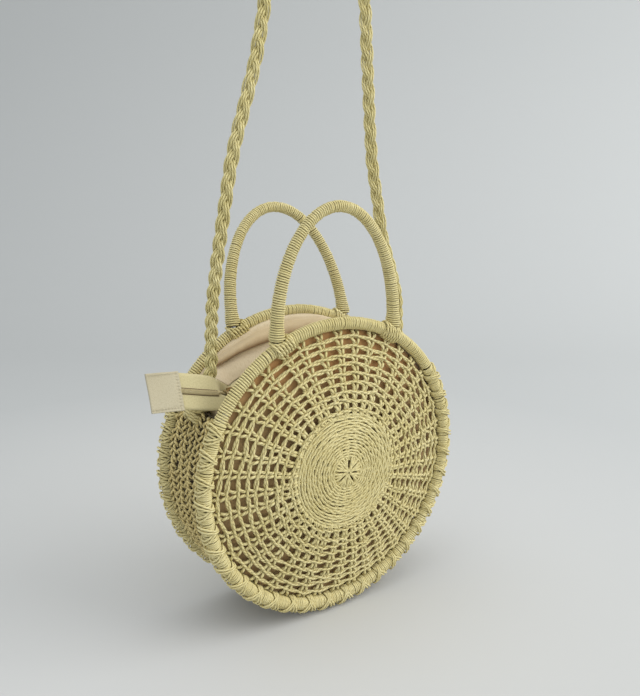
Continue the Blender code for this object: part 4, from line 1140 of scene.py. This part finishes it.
def flap_inner(x, side):
    """Along the zip's tape. At the tail, the back flap's edge rises with the tape."""
    seam = flap_seam(x, side)
    if side == BACK and x < 0:
        tape = tape_outer(x, side)
        near = np.array((x, tape[1] + LAP_OUT, tape[2] + BACK_LAP_UP))
        share = smooth_share((TAIL_FROM - x) / 0.007)
    else:
        tape = tape_outer(min(abs(x), ZIP_HALF), side)
        near = np.array((x, tape[1] + side * LAP_OUT, min(tape[2] + FRONT_LAP_UP, seam[2] - END_DOWN)))
        share = smooth_share((abs(x) - ZIP_HALF) / 0.014)
    return near * (1 - share) + (seam + (0, -side * END_IN, -END_DOWN)) * share


def back_flap_fold(u, v):
    """The share of the way down the back flap, and how far its cloth stands out there."""
    share = np.interp(v, FOLD_FAR, FOLD_LINE[:, 0])
    out = np.interp(v, FOLD_FAR, FOLD_LINE[:, 1]) * FOLD_HEIGHT * (0.85 + 0.35 * math.sin(9.0 * u + 0.4))
    shift = 0.03 * math.sin(5.0 * u + 0.6) - 0.08 * (u - 0.2) - 0.22 * math.exp(-((u - 0.06) / 0.075) ** 2)
    return share + shift * math.sin(math.pi * share), out


def make_flap(side_name, side):
    def place(u, v):
        x = -FLAP_HALF_LENGTH + 2 * FLAP_HALF_LENGTH * u
        first, last = flap_seam(x, side), flap_inner(x, side)
        hold = math.sin(math.pi * v)
        loose = max(1 - (x / FLAP_LOOSE_LENGTH) ** 2, 0) ** 0.5
        share, out = back_flap_fold(u, v) if side == BACK else (v, 0.0)
        spot = first * (1 - share) + last * share + FOLD_OUT * out * loose
        if side == FRONT:
            spot[2] += FRONT_SWELL * loose * hold ** 0.7
        folds = ripple(x * 1.4 + v * 0.02, v * 0.05, 1.3 if side == BACK else 4.1)
        spot[2] += FLAP_RIPPLE * hold * loose * folds
        return spot

    flap = make_cloth(
        "mouth_cloth_" + side_name, 120, 60, place, (2 * FLAP_HALF_LENGTH, FLAP_DEPTH),
        back_flap_cotton if side == BACK else flap_cotton, FLAP_THICKNESS,
    )
    settle(flap, "bag", "lining_cotton", "mouth_flap_" + side_name)


def make_tape(side_name, side):
    def place(u, v):
        x = TAPE_END + TAPE_LENGTH * u
        return tape_inner(x, side) * (1 - v) + tape_outer(x, side) * v

    tape = make_cloth(
        "zip_tape_cloth_" + side_name, 140, 6, place, (TAPE_LENGTH, 0.012), tape_cloth, TAPE_THICKNESS,
    )
    settle(tape, "bag", "zip_tape", "zip_tape_" + side_name)


for side_name, side in SIDES:
    make_flap(side_name, side)
    make_tape(side_name, side)


# Zip coils

COIL_PAST_SLIDER = 0.0048
COIL_END = 0.0837
COIL_STEP, COIL_PER_TURN = 0.001, 9
COIL_REACH, COIL_WIRE, COIL_PITCH = 0.0007, 0.0003, 0.0011
TAIL_COIL_START = -0.0965
TAIL_WIRE, TAIL_PITCH = 0.00040, 0.0010
TAIL_HALF_WIDTH, TAIL_HALF_DEEP, TAIL_STAND_OFF = 0.0017, 0.0006, 0.0010
DOWN_REACH = 0.0009
STITCH_OUT, STITCH_IN, STITCH_WAVE, STITCH_PITCH, STITCH_THREAD = 0.0023, 0.0005, 0.00012, 0.0022, 0.00030


def make_coil(side_name, side):
    run = np.linspace(COIL_PAST_SLIDER - ZIP_HALF, COIL_END, 60)
    line = even_line(np.array([coil_line(x, side) for x in run]), COIL_STEP)
    bundles = [([wound_line(line, COIL_REACH, COIL_PITCH, COIL_PER_TURN)], COIL_WIRE, OPEN)]
    cord_piece("zip_teeth_" + side_name, coil_nylon, bundles, "zip_coil_" + side_name, slot="zip_coil")


def make_tail_coil():
    """The closed coil: flat on the tail's tape between two rows of stitching, then down to the slider."""
    places = np.linspace(TAIL_COIL_START, TAB_START - 0.001, 400)
    ups, faces = np.array([tail_up(x) for x in places]), np.array([tail_face(x) for x in places])
    centre = np.array([tail_line(x) for x in places]) + TAIL_STAND_OFF * faces
    turn = FULL_TURN * walked(centre)[:, None] / TAIL_PITCH
    flat = centre + TAIL_HALF_WIDTH * np.cos(turn) * ups + TAIL_HALF_DEEP * np.sin(turn) * faces
    start = np.array((-ZIP_HALF, ZIP_Y, ZIP_Z))
    down = [start, start - (COIL_PAST_SLIDER, 0, 0), start - (0.0085, 0.002, -0.0025), centre[0]]
    down = even_line(smooth_line(down), COIL_STEP)
    down = wound_line(down, DOWN_REACH, TAIL_PITCH, COIL_PER_TURN)
    bundles = [([flat], TAIL_WIRE, OPEN), ([down], TAIL_WIRE, OPEN)]
    cord_piece("zip_teeth_tail", coil_nylon, bundles, "zip_coil_tail", slot="zip_coil")
    wave = STITCH_WAVE * np.sin(FULL_TURN * walked(centre) / STITCH_PITCH)[:, None]
    rows = [centre + side * STITCH_OUT * ups + (wave - STITCH_IN) * faces for side in (1, -1)]
    cord_piece("zip_tail_stitches", brown_thread, [(rows, STITCH_THREAD, OPEN)], slot="zip_coil")


for side_name, side in SIDES:
    make_coil(side_name, side)
make_tail_coil()


# Cotton tab, folded over the end of the zip's tail and stitched down

TAB_ALONG = unit(np.array((-1, 0, 0.07)))
TAB_UP = tail_up(TAB_START)
TAB_FACE = np.cross(TAB_UP, TAB_ALONG)
TAB_PLUMP, TAB_CROWN, TAB_THICKNESS = 0.0012, 0.0004, 0.0008
SEAM_IN, UPPER_SEAM_IN = 0.0022, 0.0016
SEAM_WIDTH, PUCKER, PUCKER_RATE = 0.0012, 0.00030, 2600
TAB_FOLDS, TAB_WAVES = 0.00035, 0.0003
TAB_THREAD = 0.00016
TAB_STITCHES = np.arange(0.02, 0.985, 0.058)
STITCH_RUN = np.array((0, 0.0004, 0.0009, 0.0013))
STITCH_LIFT = np.array((-0.0001, 0.0005, 0.0005, -0.0001))


def tab_point(length, across, layer):
    """A point on the tab: puckered along its stitches, and a little wrinkled."""
    inner = math.exp(-((length - SEAM_IN) / SEAM_WIDTH) ** 2)
    lower = math.exp(-((across + TAB_HALF_WIDTH - SEAM_IN) / SEAM_WIDTH) ** 2)
    gathers = inner * (1 + math.sin(across * PUCKER_RATE)) + lower * (1 + math.sin(length * PUCKER_RATE))
    wrinkle = TAB_FOLDS * ripple(length * 1.3, across * 1.3, 2.0)
    wrinkle += TAB_WAVES * math.sin(across * 210 + length * 330)
    plump = TAB_PLUMP + TAB_CROWN * math.sin(math.pi * min(length / TAB_LENGTH, 1)) - PUCKER * gathers
    place = TAB_ALONG * length + TAB_UP * across + TAB_FACE * (layer * plump + wrinkle)
    return tail_line(TAB_START) + place


def tab_stitch(length, across, layer, lengthways):
    """One stitch: a short thread that dips into the cloth at both ends."""
    points = [
        tab_point(length + step * lengthways, across + step * (1 - lengthways), layer) for step in STITCH_RUN
    ]
    return np.array(points) + TAB_FACE * layer * STITCH_LIFT[:, None]


def make_tab():
    def place(u, v):
        length = TAB_LENGTH * (1 - abs(1 - 2 * u))
        return tab_point(length, (v - 0.5) * 2 * TAB_HALF_WIDTH, math.cos(math.pi * u))

    flat = (2 * TAB_LENGTH, 2 * TAB_HALF_WIDTH)
    tab = make_cloth("zip_tab_cloth", 90, 70, place, flat, tab_cotton, TAB_THICKNESS)
    settle(tab, "bag", "tab_cotton", "zip_end_tab")
    rows = []
    for layer in (1, -1):
        for share in TAB_STITCHES:
            length = SEAM_IN + (TAB_LENGTH - 0.0030) * share
            rows.append(tab_stitch(SEAM_IN, (share - 0.5) * 2 * TAB_HALF_WIDTH, layer, 0))
            rows.append(tab_stitch(length, SEAM_IN - TAB_HALF_WIDTH, layer, 1))
            rows.append(tab_stitch(length, TAB_HALF_WIDTH - UPPER_SEAM_IN, layer, 1))
    cord_piece("zip_tab_stitches", tab_cotton, [(rows, TAB_THREAD, OPEN)], slot="tab_cotton")


make_tab()


# CAD nodes that stay, with better finishes

for node_name in ("zip_slider", "zip_puller", "zip_end_stop"):
    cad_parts[node_name].data.materials[0] = slider_metal
for node_name in ("front_hoop_wire", "back_hoop_wire", "front_handle_core", "back_handle_core"):
    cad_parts[node_name].data.materials[0] = hoop_steel


# Floor, backdrop and light

FLOOR = BAG_CENTRE[2] - 0.1300
BAG_FOOT = (-0.04, 0.02, FLOOR)
PAPER_NEAR, PAPER_HALF_WIDTH, PAPER_TOP = 2.0, 3, 3.0
PAPER_FLAT, PAPER_BEND = 0.9, 0.9
# Paper tones with painted light: the left side, the right side, and round the bag's foot.
PAPER_LIT_TONES = ((0.430, 0.441, 0.437), (0.522, 0.534, 0.530), (0.575, 0.576, 0.563))


def make_backdrop():
    """A sheet of pale paper that lies under the bag and curves up behind it, with painted light to the right
    and round the bag's foot.
    """
    away = Vector((*CAMERA_AIM[:2], 0)).normalized()
    level = Vector((away.y, -away.x, 0))
    near = Vector((0, 0, FLOOR)) - away * PAPER_NEAR
    bm = bmesh.new()
    row = [bm.edges.new([bm.verts.new(near + level * PAPER_HALF_WIDTH * end) for end in (LEFT, RIGHT)])]
    profile = [(PAPER_FLAT, 0.0)]
    for turn in np.linspace(0.12, math.pi / 2, 12):
        profile.append((PAPER_FLAT + PAPER_BEND * math.sin(turn), PAPER_BEND * (1 - math.cos(turn))))
    profile.append((PAPER_FLAT + PAPER_BEND, PAPER_TOP))
    reached = (-PAPER_NEAR, 0.0)
    for spot in profile:
        step = away * (spot[0] - reached[0]) + Vector((0, 0, spot[1] - reached[1]))
        made = bmesh.ops.extrude_edge_only(bm, edges=row)["geom"]
        verts = [part for part in made if isinstance(part, bmesh.types.BMVert)]
        edges = [part for part in made if isinstance(part, bmesh.types.BMEdge)]
        row = [edge for edge in edges if all(vert in verts for vert in edge.verts)]
        bmesh.ops.translate(bm, verts=verts, vec=step)
        reached = spot
    bmesh.ops.recalc_face_normals(bm, faces=bm.faces)
    mesh = bpy.data.meshes.new("backdrop")
    bm.to_mesh(mesh)
    bm.free()
    mesh.shade_smooth()
    made, tree, shader, where = new_finish("backdrop_paper", 0.9)
    across = [(0, where["Object"]), (1, level)]
    across = add_node(tree, "ShaderNodeVectorMath", across, operation="DOT_PRODUCT").outputs["Value"]
    # Painted light: the paper grows lighter from left to right.
    paper = blend_colours(tree, graded(tree, across, -1.1, 1.1), *PAPER_LIT_TONES[:2])
    gap = [(0, where["Object"]), (1, BAG_FOOT)]
    gap = add_node(tree, "ShaderNodeVectorMath", gap, operation="DISTANCE").outputs["Value"]
    # Painted light round the bag's foot, where it lightens the bag's shadow.
    paper = blend_colours(tree, graded(tree, gap, 0.70, 0.06), paper, PAPER_LIT_TONES[2])
    tree.links.new(paper, shader.inputs["Base Color"])
    shader.inputs["Specular IOR Level"].default_value = 0.1
    mesh.materials.append(made)
    new_object("backdrop", mesh)


def add_lamp(name, place, size, watts, colour):
    data = bpy.data.lights.new(name, "AREA")
    data.size = size
    data.energy = watts
    data.color = colour
    lamp = new_object(name, data)
    lamp.location = place
    lamp.rotation_euler = (Vector(BAG_CENTRE) - Vector(place)).to_track_quat("-Z", "Y").to_euler()


def light_scene():
    world = bpy.data.worlds.new("studio")
    world.use_nodes = True
    background = world.node_tree.nodes["Background"]
    background.inputs[0].default_value = (0.84, 0.87, 0.90, 1)
    background.inputs[1].default_value = 0.95
    bpy.context.scene.world = world
    add_lamp("window_light", (2.0, -1.9, 1.1), 2.6, 62, (1.0, 0.985, 0.96))
    add_lamp("overhead_light", (-0.2, 0.1, 1.7), 2.8, 18, (1.0, 0.99, 0.975))


make_backdrop()
light_scene()
bpy.context.scene.view_settings.view_transform = "Standard"
